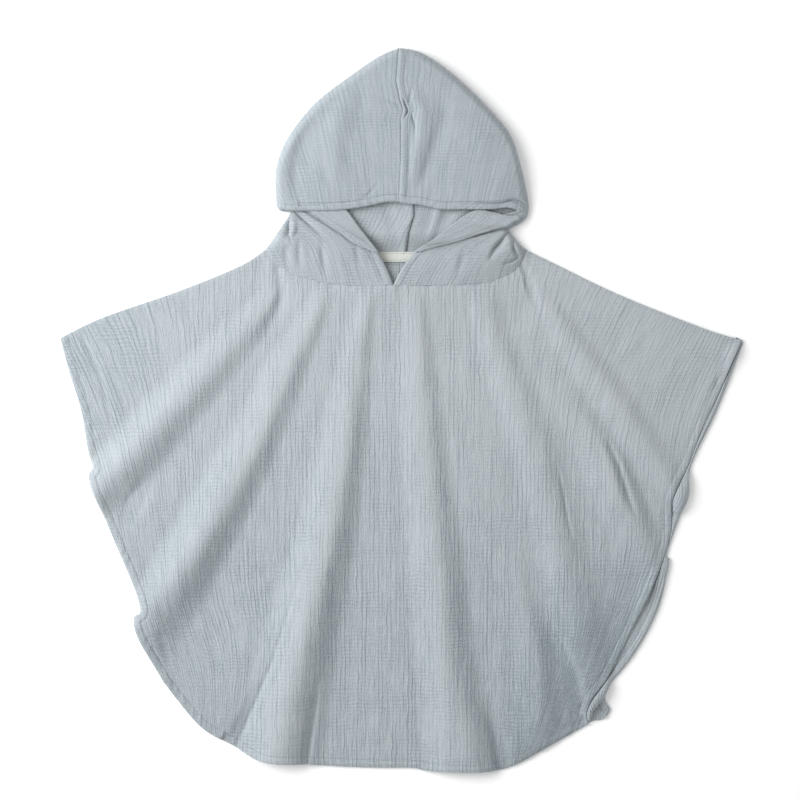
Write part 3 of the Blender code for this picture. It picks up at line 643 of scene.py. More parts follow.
def front_base(x, y):
    """The underside of the front panel, as in the solid."""
    away = np.sqrt(((x - LEFT_NECK[0].x) / NECK_LIFT_WIDER) ** 2 + (y - LEFT_NECK[0].y) ** 2)
    above_rest = np.clip(1.0 - away / NECK_LIFT_REACH, 0.0, 1.0)
    return REST + NECK_LIFT * above_rest**1.5 * (3 - 2 * above_rest**0.5) + crest_relief(x, y, FOLDS)


def neckline(side, share):
    """Points of one side of the front neckline, from the middle at 0 to the shoulder at 1."""
    return even_points(LEFT_NECK if side < 0 else RIGHT_NECK, np.clip(share, 0.0, 1.0))


def front_neck(count):
    """The whole front neckline from left to right, with this many points on each side."""
    return join(neckline(-1, np.linspace(1.0, 0.0, count)), neckline(1, np.linspace(0.0, 1.0, count)))


def front_edge():
    """The front panel's hemmed edge, from the left cuff round the hem to the right cuff."""
    return join(evenly(FRONT_LEFT, 400), evenly(FRONT_HEM, 500), evenly(FRONT_RIGHT, 400)[::-1])


# Meshes


def new_piece(name, mesh, finish, into):
    """The object of a mesh, shaded smooth and with its finish."""
    mesh.shade_smooth()
    mesh.materials.append(finish)
    piece = bpy.data.objects.new(name, mesh)
    into.objects.link(piece)
    return piece


def cloth_mesh(name, patches, finish, into):
    """Patches of points in rows, each with its place on the cloth's grain and how loose the cloth is there,
    which also sets how much painted shade its creases get, as one smooth welded piece."""
    corners, faces, grains, start = [], [], [], 0
    for points, grain in patches:
        rows, columns = points.shape[:2]
        index = np.arange(rows * columns).reshape(rows, columns) + start
        quads = np.stack([index[:-1, :-1], index[:-1, 1:], index[1:, 1:], index[1:, :-1]], axis=-1)
        corners.append(points.reshape(-1, 3))
        grains.append(grain.reshape(-1, 3))
        faces.append(quads.reshape(-1, 4))
        start += rows * columns
    faces, grains = np.concatenate(faces), np.concatenate(grains)
    mesh = bpy.data.meshes.new(name)
    mesh.from_pydata(np.concatenate(corners) * MM, [], faces.tolist())
    layer = mesh.uv_layers.new(name="grain")
    layer.data.foreach_set("uv", (grains[:, :2] * MM)[faces.ravel()].ravel())
    mesh.attributes.new("slack_and_shade", "FLOAT", "POINT").data.foreach_set("value", grains[:, 2])
    shape = bmesh.new()
    shape.from_mesh(mesh)
    bmesh.ops.remove_doubles(shape, verts=shape.verts, dist=0.01 * MM)
    bmesh.ops.dissolve_degenerate(shape, edges=shape.edges, dist=0.001 * MM)
    bmesh.ops.recalc_face_normals(shape, faces=shape.faces)
    shape.to_mesh(mesh)
    shape.free()
    return new_piece(name, mesh, finish, into)


def solidify(piece, thickness, offset):
    """Give a sheet its wall: all below it with an offset of -1, half above and half below with 0."""
    wall = piece.modifiers.new("wall", "SOLIDIFY")
    wall.thickness = thickness * MM
    wall.offset = offset


def outward(line):
    """Unit normals on the right of a line's run, level with the floor."""
    way = np.gradient(line[:, :2], axis=0)
    way /= np.linalg.norm(way, axis=1)[:, None]
    return np.stack([way[:, 1], -way[:, 0]], axis=-1)


def skirt(line, rings):
    """A strip round an edge: each ring is how far out, and how far up, of the edge's points."""
    out = outward(line)
    strips = [line + np.column_stack([out * away, np.full(len(line), up)]) for away, up in rings]
    return np.stack(strips, axis=0)


def stitch_places(line, pitch):
    """The middles of the stitches along a line, and which way each of them runs, lies level and faces up."""
    way = lengths(line)
    at = (np.arange(int(way[-1] / pitch)) + 0.5) * pitch
    back, middle, ahead = (
        np.stack([np.interp(at + off, way, line[:, k]) for k in range(3)], axis=-1)
        for off in (-0.5, 0.0, 0.5)
    )
    run = ahead - back
    run /= np.linalg.norm(run, axis=1)[:, None]
    level = np.cross(run, [0.0, 0.0, 1.0])
    level /= np.linalg.norm(level, axis=1)[:, None]
    return middle, run, level, np.cross(level, run)


def stitch_mesh(name, lines, finish, into):
    """Stitches as short rounded bars along lines of points, sunk at both ends and joined in one piece."""
    cloth = bpy.context.scene.towel_cloth
    pitch, width = cloth.stitch_pitch / MM, cloth.stitch_width / MM
    sides, stations = 6, np.array([-0.5, -0.38, 0.0, 0.38, 0.5])
    # How much of the pitch a stitch spans, how far it arches and how blunt its ends are
    shown, bow, blunt = 0.8, 0.35, 0.06
    girth = np.sqrt(np.clip(1 - (stations / 0.5) ** 2, blunt, 1))[:, None]
    turn = np.arange(sides) * 2 * np.pi / sides
    rise = np.cos(stations * np.pi) * width * bow
    count = len(stations) * sides
    rings = np.arange(count).reshape(len(stations), sides)
    after = np.roll(rings, -1, axis=1)
    quads = np.stack([rings[:-1], after[:-1], after[1:], rings[1:]], axis=-1).reshape(-1, 4)
    corners, faces, start = [], [], 0
    for line in lines:
        middle, run, level, up = (row[:, None, None, :] for row in stitch_places(line, pitch))
        spots = (
            middle
            + run * (stations * pitch * shown)[None, :, None, None]
            + up * rise[None, :, None, None]
            + level * (girth * np.cos(turn) * width / 2)[None, :, :, None]
            + up * (girth * np.sin(turn) * width / 2)[None, :, :, None]
        )
        corners.append(spots.reshape(-1, 3))
        starts = start + np.arange(len(middle))[:, None, None] * count
        faces += (quads[None] + starts).reshape(-1, 4).tolist()
        for end in (rings[0][::-1], rings[-1]):
            faces += (end[None, :] + starts[:, 0]).tolist()
        start += len(middle) * count
    mesh = bpy.data.meshes.new(name)
    mesh.from_pydata(np.concatenate(corners) * MM, [], faces)
    return new_piece(name, mesh, finish, into)


def laid_on(piece, line, above):
    """A line of x and y laid on the visible top of a piece, in millimetres."""
    bpy.context.view_layer.update()
    tree = BVHTree.FromObject(piece, bpy.context.evaluated_depsgraph_get())
    spots = []
    for x, y in line:
        hit = tree.ray_cast(Vector((x * MM, y * MM, ABOVE_ALL)), Vector((0.0, 0.0, -1.0)))[0]
        if hit is not None:
            spots.append([x, y, hit.z / MM + above])
    return np.array(spots)


# Finishes


def add_node(tree, kind, settings, inputs):
    """One node with its settings; an input is a value, or an output socket to link."""
    node = tree.nodes.new(kind)
    for name, value in settings.items():
        setattr(node, name, value)
    for name, value in inputs.items():
        if isinstance(value, bpy.types.NodeSocket):
            tree.links.new(value, node.inputs[name])
        else:
            node.inputs[name].default_value = value
    return node


def new_finish(name, roughness, ior, sheen):
    """A material with its Principled shader, set with what is the same all over."""
    finish = bpy.data.materials.new(name)
    finish.use_nodes = True
    shader = finish.node_tree.nodes["Principled BSDF"]
    values = {
        "Roughness": roughness, "IOR": ior, "Metallic": 0.0, "Specular IOR Level": 0.25,
        "Sheen Weight": sheen, "Sheen Roughness": 0.5,
    }
    for socket, value in values.items():
        shader.inputs[socket].default_value = value
    return finish, finish.node_tree, shader


def per_metre(millimetres):
    """Repeats in a metre of a pattern that repeats over so many millimetres."""
    return 1.0 / (millimetres * MM)


def gauze_ribs(tree, grain, slack_and_shade, width):
    """The ribs as a wave across the grain that drifts slowly along it, how far they show in bunches, and the
    strands that run along them."""
    ribbed = add_node(tree, "ShaderNodeVectorMath", {"operation": "MULTIPLY"}, {
        0: grain, 1: (WAVE_UNIT * per_metre(width), per_metre(RIB_RUN), 1.0)}).outputs[0]
    wave = add_node(tree, "ShaderNodeTexWave", {"bands_direction": "X"}, {
        "Vector": ribbed, "Scale": 1.0, "Distortion": 6.0, "Detail": 4.0, "Detail Scale": 1.0,
        "Detail Roughness": 0.6})
    rib = add_node(tree, "ShaderNodeMapRange", {"interpolation_type": "SMOOTHSTEP"}, {
        "Value": wave.outputs["Fac"], "From Min": 0.0, "From Max": 0.42})
    bunches = add_node(tree, "ShaderNodeTexNoise", {"noise_dimensions": "2D"}, {
        "Vector": ribbed, "Scale": 1.3, "Detail": 2.0})
    bunched = add_node(tree, "ShaderNodeMapRange", {}, {
        "Value": bunches.outputs["Fac"], "From Min": 0.36, "From Max": 0.62, "To Min": 0.15, "To Max": 1.0})
    shown = add_node(tree, "ShaderNodeMath", {"operation": "MULTIPLY"}, {
        0: bunched.outputs["Result"], 1: slack_and_shade})
    strands = add_node(tree, "ShaderNodeTexNoise", {"noise_dimensions": "2D"}, {
        "Vector": ribbed, "Scale": 8.0, "Detail": 2.0, "Roughness": 0.6})
    return rib.outputs["Result"], shown.outputs[0], strands.outputs["Fac"]


def gauze_puckers(tree, place, grain, slack_and_shade, width):
    """The short puckers across the ribs, and how far they show in patches."""
    puckered = add_node(tree, "ShaderNodeVectorMath", {"operation": "MULTIPLY"}, {
        0: grain, 1: (per_metre(PUCKER_RUN), WAVE_UNIT * per_metre(width), 1.0)})
    ripple = add_node(tree, "ShaderNodeTexWave", {"bands_direction": "Y"}, {
        "Vector": puckered.outputs[0], "Scale": 1.0, "Distortion": 6.0, "Detail": 3.0, "Detail Scale": 1.0,
        "Detail Roughness": 0.55})
    pucker = add_node(tree, "ShaderNodeMapRange", {"interpolation_type": "SMOOTHSTEP"}, {
        "Value": ripple.outputs["Fac"], "From Min": 0.0, "From Max": 0.35})
    patches = add_node(tree, "ShaderNodeTexNoise", {"noise_dimensions": "2D"}, {
        "Vector": place, "Scale": per_metre(PUCKER_PATCH), "Detail": 2.0})
    patched = add_node(tree, "ShaderNodeMapRange", {}, {
        "Value": patches.outputs["Fac"], "From Min": 0.40, "From Max": 0.64, "To Min": 0.2, "To Max": 1.0})
    shown = add_node(tree, "ShaderNodeMath", {"operation": "MULTIPLY"}, {
        0: patched.outputs["Result"], 1: slack_and_shade})
    return pucker.outputs["Result"], shown.outputs[0]


def gauze_threads(tree, grain):
    """The woven threads. They are 0.5 mm apart, drawn about 1.2 by 2 mm apart so that they show."""
    woven = add_node(tree, "ShaderNodeVectorMath", {"operation": "MULTIPLY"}, {
        0: grain, 1: (*map(per_metre, THREADS), 1.0)})
    threads = add_node(tree, "ShaderNodeTexNoise", {"noise_dimensions": "2D"}, {
        "Vector": woven.outputs[0], "Scale": 1.0, "Detail": 1.0})
    return threads.outputs["Fac"]


def double_gauze(name, face, crease_shade, rib_width, rib_depth, pucker_depth, crown_painted_shade):
    """Cotton double gauze, woven and washed: two muslins tacked together, which shrink into long soft ribs
    with thin creases between them and puckers across, so it is matt, slightly fuzzy and never flat. The ribs
    are pulled out where the cloth is taut over a fold. Down in the creases its colour is mixed towards the
    creases' colour as painted shade, and on the crown, where the ribs are pressed flatter, its colour is
    darkened all over as painted shade."""
    finish, tree, shader = new_finish(name, 0.92, 1.53, 0.12)
    place = add_node(tree, "ShaderNodeUVMap", {"uv_map": "grain"}, {}).outputs["UV"]
    slack_and_shade = add_node(tree, "ShaderNodeAttribute", {"attribute_name": "slack_and_shade"}, {}).outputs["Fac"]
    wander = add_node(tree, "ShaderNodeTexNoise", {"noise_dimensions": "2D"}, {
        "Vector": place, "Scale": per_metre(WANDER_OVER), "Detail": 3.0, "Roughness": 0.6})
    grain = add_node(tree, "ShaderNodeVectorMath", {"operation": "MULTIPLY_ADD"}, {
        0: wander.outputs["Color"], 1: (WANDER_BY * MM, WANDER_BY * MM, 0.0), 2: place}).outputs[0]
    rib, rib_shown, strands = gauze_ribs(tree, grain, slack_and_shade, rib_width)
    pucker, pucker_shown = gauze_puckers(tree, place, grain, slack_and_shade, rib_width * 0.85)
    threads = gauze_threads(tree, grain)

    # Height in millimetres, and how much of the creases' colour is mixed in as painted shade
    # Painted shade on the crown: its colour is darkened where its cloth is pressed flatter
    painted_shade = add_node(tree, "ShaderNodeMath", {"operation": "MULTIPLY_ADD"}, {
        0: slack_and_shade, 1: -crown_painted_shade, 2: crown_painted_shade}).outputs[0]
    height = 0.0
    for form, shown, depth, shade in (
        (rib, rib_shown, rib_depth, 0.4),
        (strands, slack_and_shade, rib_depth * 3.0, 0.6),
        (pucker, pucker_shown, pucker_depth, 0.2),
        (threads, slack_and_shade, 0.38, 0.4),
    ):
        raised = add_node(tree, "ShaderNodeMath", {"operation": "MULTIPLY"}, {0: form, 1: shown}).outputs[0]
        height = add_node(tree, "ShaderNodeMath", {"operation": "MULTIPLY_ADD"}, {
            0: raised, 1: depth, 2: height}).outputs[0]
        painted_shade = add_node(tree, "ShaderNodeMath", {"operation": "MULTIPLY_ADD"}, {
            0: raised, 1: -shade, 2: painted_shade}).outputs[0]
        painted_shade = add_node(tree, "ShaderNodeMath", {"operation": "MULTIPLY_ADD"}, {
            0: shown, 1: shade, 2: painted_shade}).outputs[0]
    bump = add_node(tree, "ShaderNodeBump", {}, {"Height": height, "Distance": MM, "Strength": 1.0})
    # The gauze's colour, mixed towards the creases' colour as painted shade
    colour = add_node(tree, "ShaderNodeMix", {"data_type": "RGBA"}, {0: painted_shade, 6: face, 7: crease_shade})
    tree.links.new(colour.outputs[2], shader.inputs["Base Color"])
    tree.links.new(bump.outputs["Normal"], shader.inputs["Normal"])
    return finish


def herringbone_tape(name, face, shade):
    """Cotton herringbone tape, woven: a flat cream band whose small slanting ribs turn at its middle."""
    finish, tree, shader = new_finish(name, 0.85, 1.53, 0.1)
    grain = add_node(tree, "ShaderNodeUVMap", {"uv_map": "grain"}, {}).outputs["UV"]
    mirrored = add_node(tree, "ShaderNodeVectorMath", {"operation": "ABSOLUTE"}, {0: grain})
    slanted = add_node(tree, "ShaderNodeVectorMath", {"operation": "DOT_PRODUCT"}, {
        0: mirrored.outputs[0], 1: (1.0, 1.0, 0.0)})
    # Twill lines are 0.8 mm apart, drawn 1.6 mm apart so that they show
    wave = add_node(tree, "ShaderNodeTexWave", {"bands_direction": "X"}, {
        "Vector": slanted.outputs["Value"], "Scale": WAVE_UNIT * per_metre(1.6), "Distortion": 0.3})
    bump = add_node(tree, "ShaderNodeBump", {}, {
        "Height": wave.outputs["Fac"], "Distance": 0.15 * MM, "Strength": 1.0})
    # Between the twill ribs the cream is mixed with the tape shade colour, as painted shade
    colour = add_node(tree, "ShaderNodeMix", {"data_type": "RGBA"}, {
        0: wave.outputs["Fac"], 6: shade, 7: face})
    tree.links.new(colour.outputs[2], shader.inputs["Base Color"])
    tree.links.new(bump.outputs["Normal"], shader.inputs["Normal"])
    return finish


def spun_thread(name, face, shade):
    """Cotton-wrapped polyester thread, twisted: matt, with fine slanting plies."""
    finish, tree, shader = new_finish(name, 0.7, 1.53, 0.1)
    place = add_node(tree, "ShaderNodeTexCoord", {}, {}).outputs["Object"]
    plies = add_node(tree, "ShaderNodeTexNoise", {}, {
        "Vector": place, "Scale": per_metre(0.6), "Detail": 1.0})
    colour = add_node(tree, "ShaderNodeMix", {"data_type": "RGBA"}, {
        0: plies.outputs["Fac"], 6: shade, 7: face})
    tree.links.new(colour.outputs[2], shader.inputs["Base Color"])
    return finish


def painted_board(name, face):
    """A white table of painted board, rolled: matt, with a faint orange peel."""
    finish, tree, shader = new_finish(name, 0.9, 1.5, 0.0)
    place = add_node(tree, "ShaderNodeTexCoord", {}, {}).outputs["Object"]
    peel = add_node(tree, "ShaderNodeTexNoise", {}, {"Vector": place, "Scale": per_metre(3.0)})
    bump = add_node(tree, "ShaderNodeBump", {}, {"Height": peel.outputs["Fac"], "Distance": 0.02 * MM})
    shader.inputs["Base Color"].default_value = face
    tree.links.new(bump.outputs["Normal"], shader.inputs["Normal"])
    return finish


def opaque(colour):
    """A colour with its alpha."""
    return tuple(colour) + (1.0,)


def finish_named(name):
    """The finish of this name, made from the colours of the scene the first time it is asked for."""
    if name in bpy.data.materials:
        return bpy.data.materials[name]
    colours = bpy.context.scene.towel_colours
    face, crease_shade = opaque(colours.gauze), opaque(colours.crease_shade)
    cloth = bpy.context.scene.towel_cloth
    width, depth, pucker = cloth.rib_width / MM, cloth.rib_depth / MM, cloth.pucker_depth / MM
    if name == "cotton_double_gauze_woven":
        return double_gauze(name, face, crease_shade, width, depth, pucker, 0.0)
    if name == "cotton_double_gauze_hood":
        finer, flatter, more_puckered = width * HOOD_RIB_WIDTH, depth * HOOD_RIB_DEPTH, pucker * HOOD_PUCKERS
        return double_gauze(name, face, crease_shade, finer, flatter, more_puckered, HOOD_PAINTED_SHADE)
    if name == "cotton_herringbone_tape_woven":
        return herringbone_tape(name, opaque(colours.tape), opaque(colours.tape_shade))
    if name == "sewing_thread_spun":
        return spun_thread(name, opaque(colours.thread), crease_shade)
    if name == "tape_thread_spun":
        return spun_thread(name, opaque(colours.tape_thread), opaque(colours.tape_shade))
    return painted_board(name, opaque(colours.table))


# Pieces


def towel_collection():
    """The collection that holds the garment's pieces, made the first time it is asked for."""
    name = "hooded_poncho_towel"
    if name not in bpy.data.collections:
        bpy.context.scene.collection.children.link(bpy.data.collections.new(name))
    return bpy.data.collections[name]


def patch(top, hem, left, right, across, down):
    """Points of a four-sided sheet between its edge lines, in rows from the top."""
    a, d = across[None, :, None], down[:, None, None]
    sides = (1 - a) * left[:, None] + a * right[:, None]
    ends = (1 - d) * top[None] + d * hem[None]
    corners = (1 - a) * ((1 - d) * top[0] + d * hem[0]) + a * ((1 - d) * top[-1] + d * hem[-1])
    return sides + ends - corners


def grain_place(x, y):
    """Where points lie across and along the grain. The ribs run straight down the middle and lean out towards
    the cuffs, the low left corner and the low right edge."""
    left_cuff = 0.45 * ramp(-x, 180.0, 340.0) * y
    left_corner = -0.42 * ramp(-x - 112.0 + 0.41 * (y + 200.0), -10.0, 70.0) * ramp_area(-y, 150.0, 230.0)
    right_cuff = -0.5 * ramp(x, 60.0, 300.0) * ramp_area(y, -90.0, 60.0)
    right_edge = 0.35 * ramp(x - 0.46 * (y + 147.0), 202.0, 257.0) * ramp_area(-y, 110.0, 170.0)
    return x + left_cuff + left_corner + right_cuff + right_edge, y


def stands_out(z):
    """How far each point of a sheet stands above the cloth some columns to its left and right."""
    columns, away = np.arange(z.shape[1]), 8
    left, right = np.maximum(columns - away, 0), np.minimum(columns + away, columns[-1])
    return z - (z[:, left] + z[:, right]) / 2


def edge_place(x, y, line):
    """How far in from an edge line points lie, and how far along it."""
    near = beside(x, y, line)[1]
    return np.hypot(x - line[near, 0], y - line[near, 1]), lengths(line)[near]


def sewn_hem(inside, way, seed):
    """The relief of a hem: its rolled edge, its doubled band, the groove of its stitching and small pulls."""
    width = bpy.context.scene.towel_cloth.hem_width / MM
    rolled = -1.0 * (1 - ramp(inside, -0.4, 1.8))
    doubled = 0.35 * (1 - ramp(inside, width - 1.4, width + 0.2))
    stitched = -0.55 * bell(inside - width, 0.9)
    pulls = 0.5 * cloud((way + inside * 0.7) / 3.4, inside / 9.0, seed)
    return rolled + doubled + stitched + pulls * bell(inside - width * 0.6, width * 0.7)


def front_grid():
    """Where the points of the front panel are seen from above, in rows from its shoulders down to its hem."""
    top = join(
        evenly(LEFT_SHOULDER, FRONT_COLUMNS[0]),
        front_neck(FRONT_COLUMNS[1] // 2 + 1),
        evenly(RIGHT_SHOULDER, FRONT_COLUMNS[2]),
    )
    place = np.concatenate([[0], np.cumsum(FRONT_COLUMNS)])
    columns = np.arange(place[-1] + 1)
    hem = even_points(FRONT_HEM, np.interp(columns, place, HEM_SHARES))
    down = np.insert(np.linspace(0.0, 1.0, FRONT_ROWS + 1), 1, BY_SEAM)
    left, right = even_points(FRONT_LEFT, down), even_points(FRONT_RIGHT, down)
    flat = patch(top, hem, left, right, np.interp(columns, place, COLUMN_SHARES), down)
    return flat[..., 0], flat[..., 1]


def front_slack_and_shade(x, y, z, low):
    """How loose the front panel's cloth is, which sets how deep its ribs are and how much of the creases'
    painted shade shows: pulled out along the folds' crests and a little at the upper right, bunched at the
    left cuff and low down, and raised on the flanks that face away from the key light and most in the low
    right, to paint shade on them."""
    slope = np.gradient(z, axis=1) / np.gradient(x, axis=1)
    taut, facing_from_key = ramp(stands_out(z), 0.2, 3.0), ramp(-slope, 0.1, 0.5)
    cuff = ramp(-x, 200.0, 310.0) * ramp(y, -60.0, 40.0)
    corner = ramp(x - 0.4 * (y + 300.0), 60.0, 150.0) * ramp(-y, 120.0, 240.0)
    smooth = ramp(x, -60.0, 60.0) * ramp(y, -80.0, 20.0)
    # The flanks that face away from the key light, and the low right corner, get more, which darkens them as
    # painted shade
    return 0.84 + 0.24 * low + 0.3 * cuff + 0.45 * corner + 0.25 * facing_from_key - 0.4 * taut - 0.08 * smooth


def front_crinkles(u, v, low):
    """The small swells of the front panel: ribs, two sizes of broader waves, and puckers low down."""
    cloth = bpy.context.scene.towel_cloth
    width, depth, pucker = cloth.rib_width / MM, cloth.rib_depth / MM, cloth.pucker_depth / MM
    ribs = depth * 0.5 * cloud(u / (width * 0.6) + cloud(u / 40, v / 60, 3), v / (width * 8), 5)
    waves = 0.35 * cloud(u / 11, v / 34, 7) + 0.6 * cloud(u / 38, v / 70, 9)
    return ribs + waves + low * pucker * cloud(u / 16, v / 4.3, 11)


def front_sheet():
    """The points of the front panel's upper side, and their grain."""
    x, y = front_grid()
    z = front_base(x, y) + WALL
    z += crest_relief(x, y, FRONT_CREASES) + crest_relief(x, y, FRONT_FOLD_LINES, sharp)
    u, v = grain_place(x, y)
    low = ramp(-y, -60.0, 260.0)
    grain = np.dstack([u, v, front_slack_and_shade(x, y, z, low)])
    z += front_crinkles(u, v, low)
    z += sewn_hem(*edge_place(x, y, front_edge()), 13)
    # The neck seam is a fine groove between small pulls, and the shoulders are rolled over
    from_neck, along_neck = edge_place(x, y, front_neck(NECK_SAMPLES))
    z += 0.5 * bell(from_neck, 9.0) * cloud(along_neck / 3.6, from_neck / 14, 15) - 0.2 * bell(from_neck, 1.3)
    shoulders = [edge_place(x, y, evenly(rows, 300))[0] for rows in (LEFT_SHOULDER, RIGHT_SHOULDER)]
    z -= 0.8 * (1 - ramp(np.minimum(*shoulders), -0.4, 2.2))
    return np.dstack([x, y, np.maximum(z, REST + 0.5)]), grain


def open_edge(sheet):
    """The rows of the front panel's sheet round its open edge: from the neck, over the left shoulder and down
    the left side, along the hem, and up the right side and over the right shoulder."""
    left_shoulder = sheet[0, :FRONT_COLUMNS[0] + 1][::-1]
    right_shoulder = sheet[0, -FRONT_COLUMNS[2] - 1:][::-1]
    return join(left_shoulder, sheet[:, 0], sheet[-1], sheet[::-1, -1], right_shoulder)


def make_front(into):
    """The front panel: its upper side, its edges rolled under, and its raw edge in the neck seam."""
    points, grain = front_sheet()
    edge_grain = open_edge(grain)
    under = skirt(open_edge(points), EDGE_RINGS)
    under[..., 2] = np.maximum(under[..., 2], REST)
    neck = np.s_[0, FRONT_COLUMNS[0]:-FRONT_COLUMNS[2]]
    neck_fall = np.stack([points[neck], points[neck] - [0.0, 0.0, NECK_FALL]], axis=0)
    patches = [
        (points, grain),
        (under, np.stack([edge_grain] * len(EDGE_RINGS))),
        (neck_fall, np.stack([grain[neck]] * 2)),
    ]
    return cloth_mesh("front_panel_cloth", patches, finish_named("cotton_double_gauze_woven"), into)


def nearest(line, spot):
    """Which point of a line lies nearest to a spot."""
    return np.hypot(*(line - spot).T).argmin()


def back_outline():
    """The back panel's edges: its left side, its hem, its right side and its top, with the line that runs
    just inside the front panel's right edge, from which the back shows, and where that line meets the top and
    the hem."""
    whole = evenly(BACK_LEFT, LONG_SAMPLES)
    corner = nearest(whole, BACK_LEFT[BACK_CORNER])
    side, hem = whole[:corner + 1], whole[corner:]
    left, right = (
        evenly(np.array(rows) - [0.0, SHOULDER_INSET], 200) for rows in (LEFT_SHOULDER, RIGHT_SHOULDER))
    top = np.concatenate([left, [[CENTRE_SEAM_X, NAPE_Y]], right])
    right = evenly([hem[-1]] + BACK_RIGHT + [top[-1]], LONG_SAMPLES)[::-1]
    hidden = evenly(FRONT_RIGHT, 600)
    hidden = hidden + outward(hidden) * BACK_HIDDEN
    on_top, on_hem = nearest(top, hidden[0]), nearest(hem, hidden[-1])
    share = np.linspace(0.0, 1.0, len(hidden))[:, None]
    to_top, to_hem = top[on_top] - hidden[0], hem[on_hem] - hidden[-1]
    hidden += bell(share, 0.04) * to_top + bell(1 - share, 0.04) * to_hem
    return side, hem, right, top, hidden, on_top, on_hem


def bunched_hem(x, y, inside, way):
    """The relief of the back panel where it shows past the front: its hem stands up a little, and is rolled
    and finely gathered at the waist and the low corner."""
    hem = sewn_hem(inside, way, 23) + 1.6 * bell(inside - 3.0, 4.0)
    rolls = crest_relief(x, y, BACK_ROLLS, rounded)
    gathers = np.cos(inside * 2.4 + 1.6 * cloud(way / 14, inside / 8, 27))
    gathered = ramp(cloud(way / 22, 0 * way, 29), -0.8, 0.4)
    return hem * (1 - ramp(rolls, 0.0, 3.0)) + rolls + 0.3 * gathers * gathered


def make_back(into):
    """The back panel: its flat body, and the strip that shows past the front panel's right edge."""
    side, hem, right, top, hidden, on_top, on_hem = back_outline()
    down = np.interp(np.arange(BACK_ROWS[-1] + 1), BACK_ROWS, BACK_ROW_SHARES)
    hidden = spread(hidden, down)
    across, strip = (np.linspace(0.0, 1.0, count + 1) for count in (BACK_COLUMNS, BACK_STRIP_COLUMNS))
    body = patch(
        spread(top[:on_top + 1], across), spread(hem[:on_hem + 1], across), spread(side, down), hidden,
        across, down)
    shown = patch(
        spread(top[on_top:], strip), spread(hem[on_hem:], strip), hidden, spread(right, down), strip, down)

    x, y = body[..., 0], body[..., 1]
    under_slit = bell(x + 4.0, 46.0) * ramp(y, 84.0, 124.0) * (1 - ramp(y, 140.0, 147.0))
    body_points = np.dstack([body, WALL + NECK_SWELL * under_slit])
    body_grain = np.dstack([*grain_place(x, y), np.ones(x.shape)])

    x, y = shown[..., 0], shown[..., 1]
    inside, way = edge_place(x, y, right)
    past = ramp(beside(x, y, evenly(FRONT_RIGHT, 900)[::-1])[0], 0.2, 1.6)
    shown_points = np.dstack([shown, WALL + past * bunched_hem(x, y, inside, way)])
    shown_grain = np.dstack([inside * 1.6, way, np.ones(x.shape)])

    patches = [(body_points, body_grain), (shown_points, shown_grain)]
    piece = cloth_mesh("back_panel_cloth", patches, finish_named("cotton_double_gauze_woven"), into)
    solidify(piece, WALL - 0.1, -1.0)
    return piece


def seam_shift(seam, y):
    """How far a centre seam wanders to the right of straight at each y."""
    table = np.array(seam)
    return np.interp(y, table[:, 1], table[:, 0] - CENTRE_SEAM_X)


def section_columns(sections, shares):
    """The columns of the sections' table at these shares, each a column of numbers."""
    return Section(*along(sections, shares).T[:, :, None])


def neck_seam(side):
    """Where a hood half is sewn to the front neckline: shares of the seam, and its points, held just clear of
    the other half and of the front panel."""
    share = np.linspace(0.0, 1.0, NECK_SAMPLES + 1)
    line = neckline(side, share)
    way = np.gradient(line, axis=0)
    way /= np.linalg.norm(way, axis=1)[:, None]
    apart = SEAM_GAP * side * np.stack([1 - share - way[:, 1], way[:, 0]], axis=-1)
    return share, np.column_stack([line + apart, front_base(line[:, 0], line[:, 1]) + WALL / 2])


def hood_top(side, sections, shares, steps):
    """Points of the hood's upper layer, from the face edge at step 0 to the side fold at step 1."""
    row = section_columns(sections, shares)
    steps = np.broadcast_to(steps, (len(shares), np.shape(steps)[-1]))
    edge = np.stack([row.edge_x, row.edge_y, row.edge_z], axis=-1)
    middle = np.stack([row.mid_x, row.mid_y, row.mid_z], axis=-1)
    turn = np.stack([row.side_x, row.side_y, row.mid_z * SIDE_HEIGHT], axis=-1)
    # One curve through edge, middle and turn, which falls round the side fold
    step = steps[..., None]
    spot = edge + step * (4 * middle - 3 * edge - turn) + step**2 * (2 * edge + 2 * turn - 4 * middle)
    low = SIDE_RADIUS + WALL / 2
    reach = np.minimum(SIDE_ROUNDING, NARROW_ROUNDING * np.linalg.norm((edge - turn)[..., :2], axis=-1))
    left = np.minimum(1.0, np.linalg.norm((spot - turn)[..., :2], axis=-1) / reach)
    left = np.where(steps < 1, left, 0.0)
    spot[..., 2] = low + (spot[..., 2] - low) * np.sqrt(1 - (1 - left) ** 2)
    # Its first sections run into the neck seam
    seam_shares, seam = neck_seam(side)
    clipped = np.clip(steps, 0.0, 1.0)
    on_seam = np.stack([np.interp(clipped, seam_shares, seam[:, k]) for k in range(3)], axis=-1)
    at_neck = np.clip(1 - shares * (len(sections) - 1) / 2, 0.0, None) ** 2
    spot = spot + at_neck[:, None, None] * (on_seam - spot)
    crown = shares[:, None] * (len(sections) - 1) > FACE_SECTIONS
    limit = np.where(crown, side * CENTRE_SEAM_X + SEAM_GAP / 2, -np.inf)
    spot[..., 0] = side * np.maximum(side * spot[..., 0], limit)
    return spot


def hood_turned(side, sections, shares, steps):
    """Points of the turned-out face hem: step 1 at its free edge, 0 over the fold, then down round it."""
    turned = section_columns(sections, shares).turned
    place = np.maximum(steps, 0.0)[None, :] * turned
    here = hood_top(side, sections, shares, place)
    along_hem = hood_top(side, sections, shares + STEP_ALONG, place) - here
    inward = hood_top(side, sections, shares, place + STEP_ACROSS) - here
    out = np.cross(along_hem, inward)
    out *= (np.sign(out[..., 2]) / np.linalg.norm(out, axis=-1))[..., None]
    beyond = -inward / np.linalg.norm(inward, axis=-1)[..., None]
    around = (np.minimum(steps, 0.0) * np.pi)[None, :, None] + np.pi
    return here + TURN_RADIUS * (beyond * np.sin(around) + out * (1 - np.cos(around)))


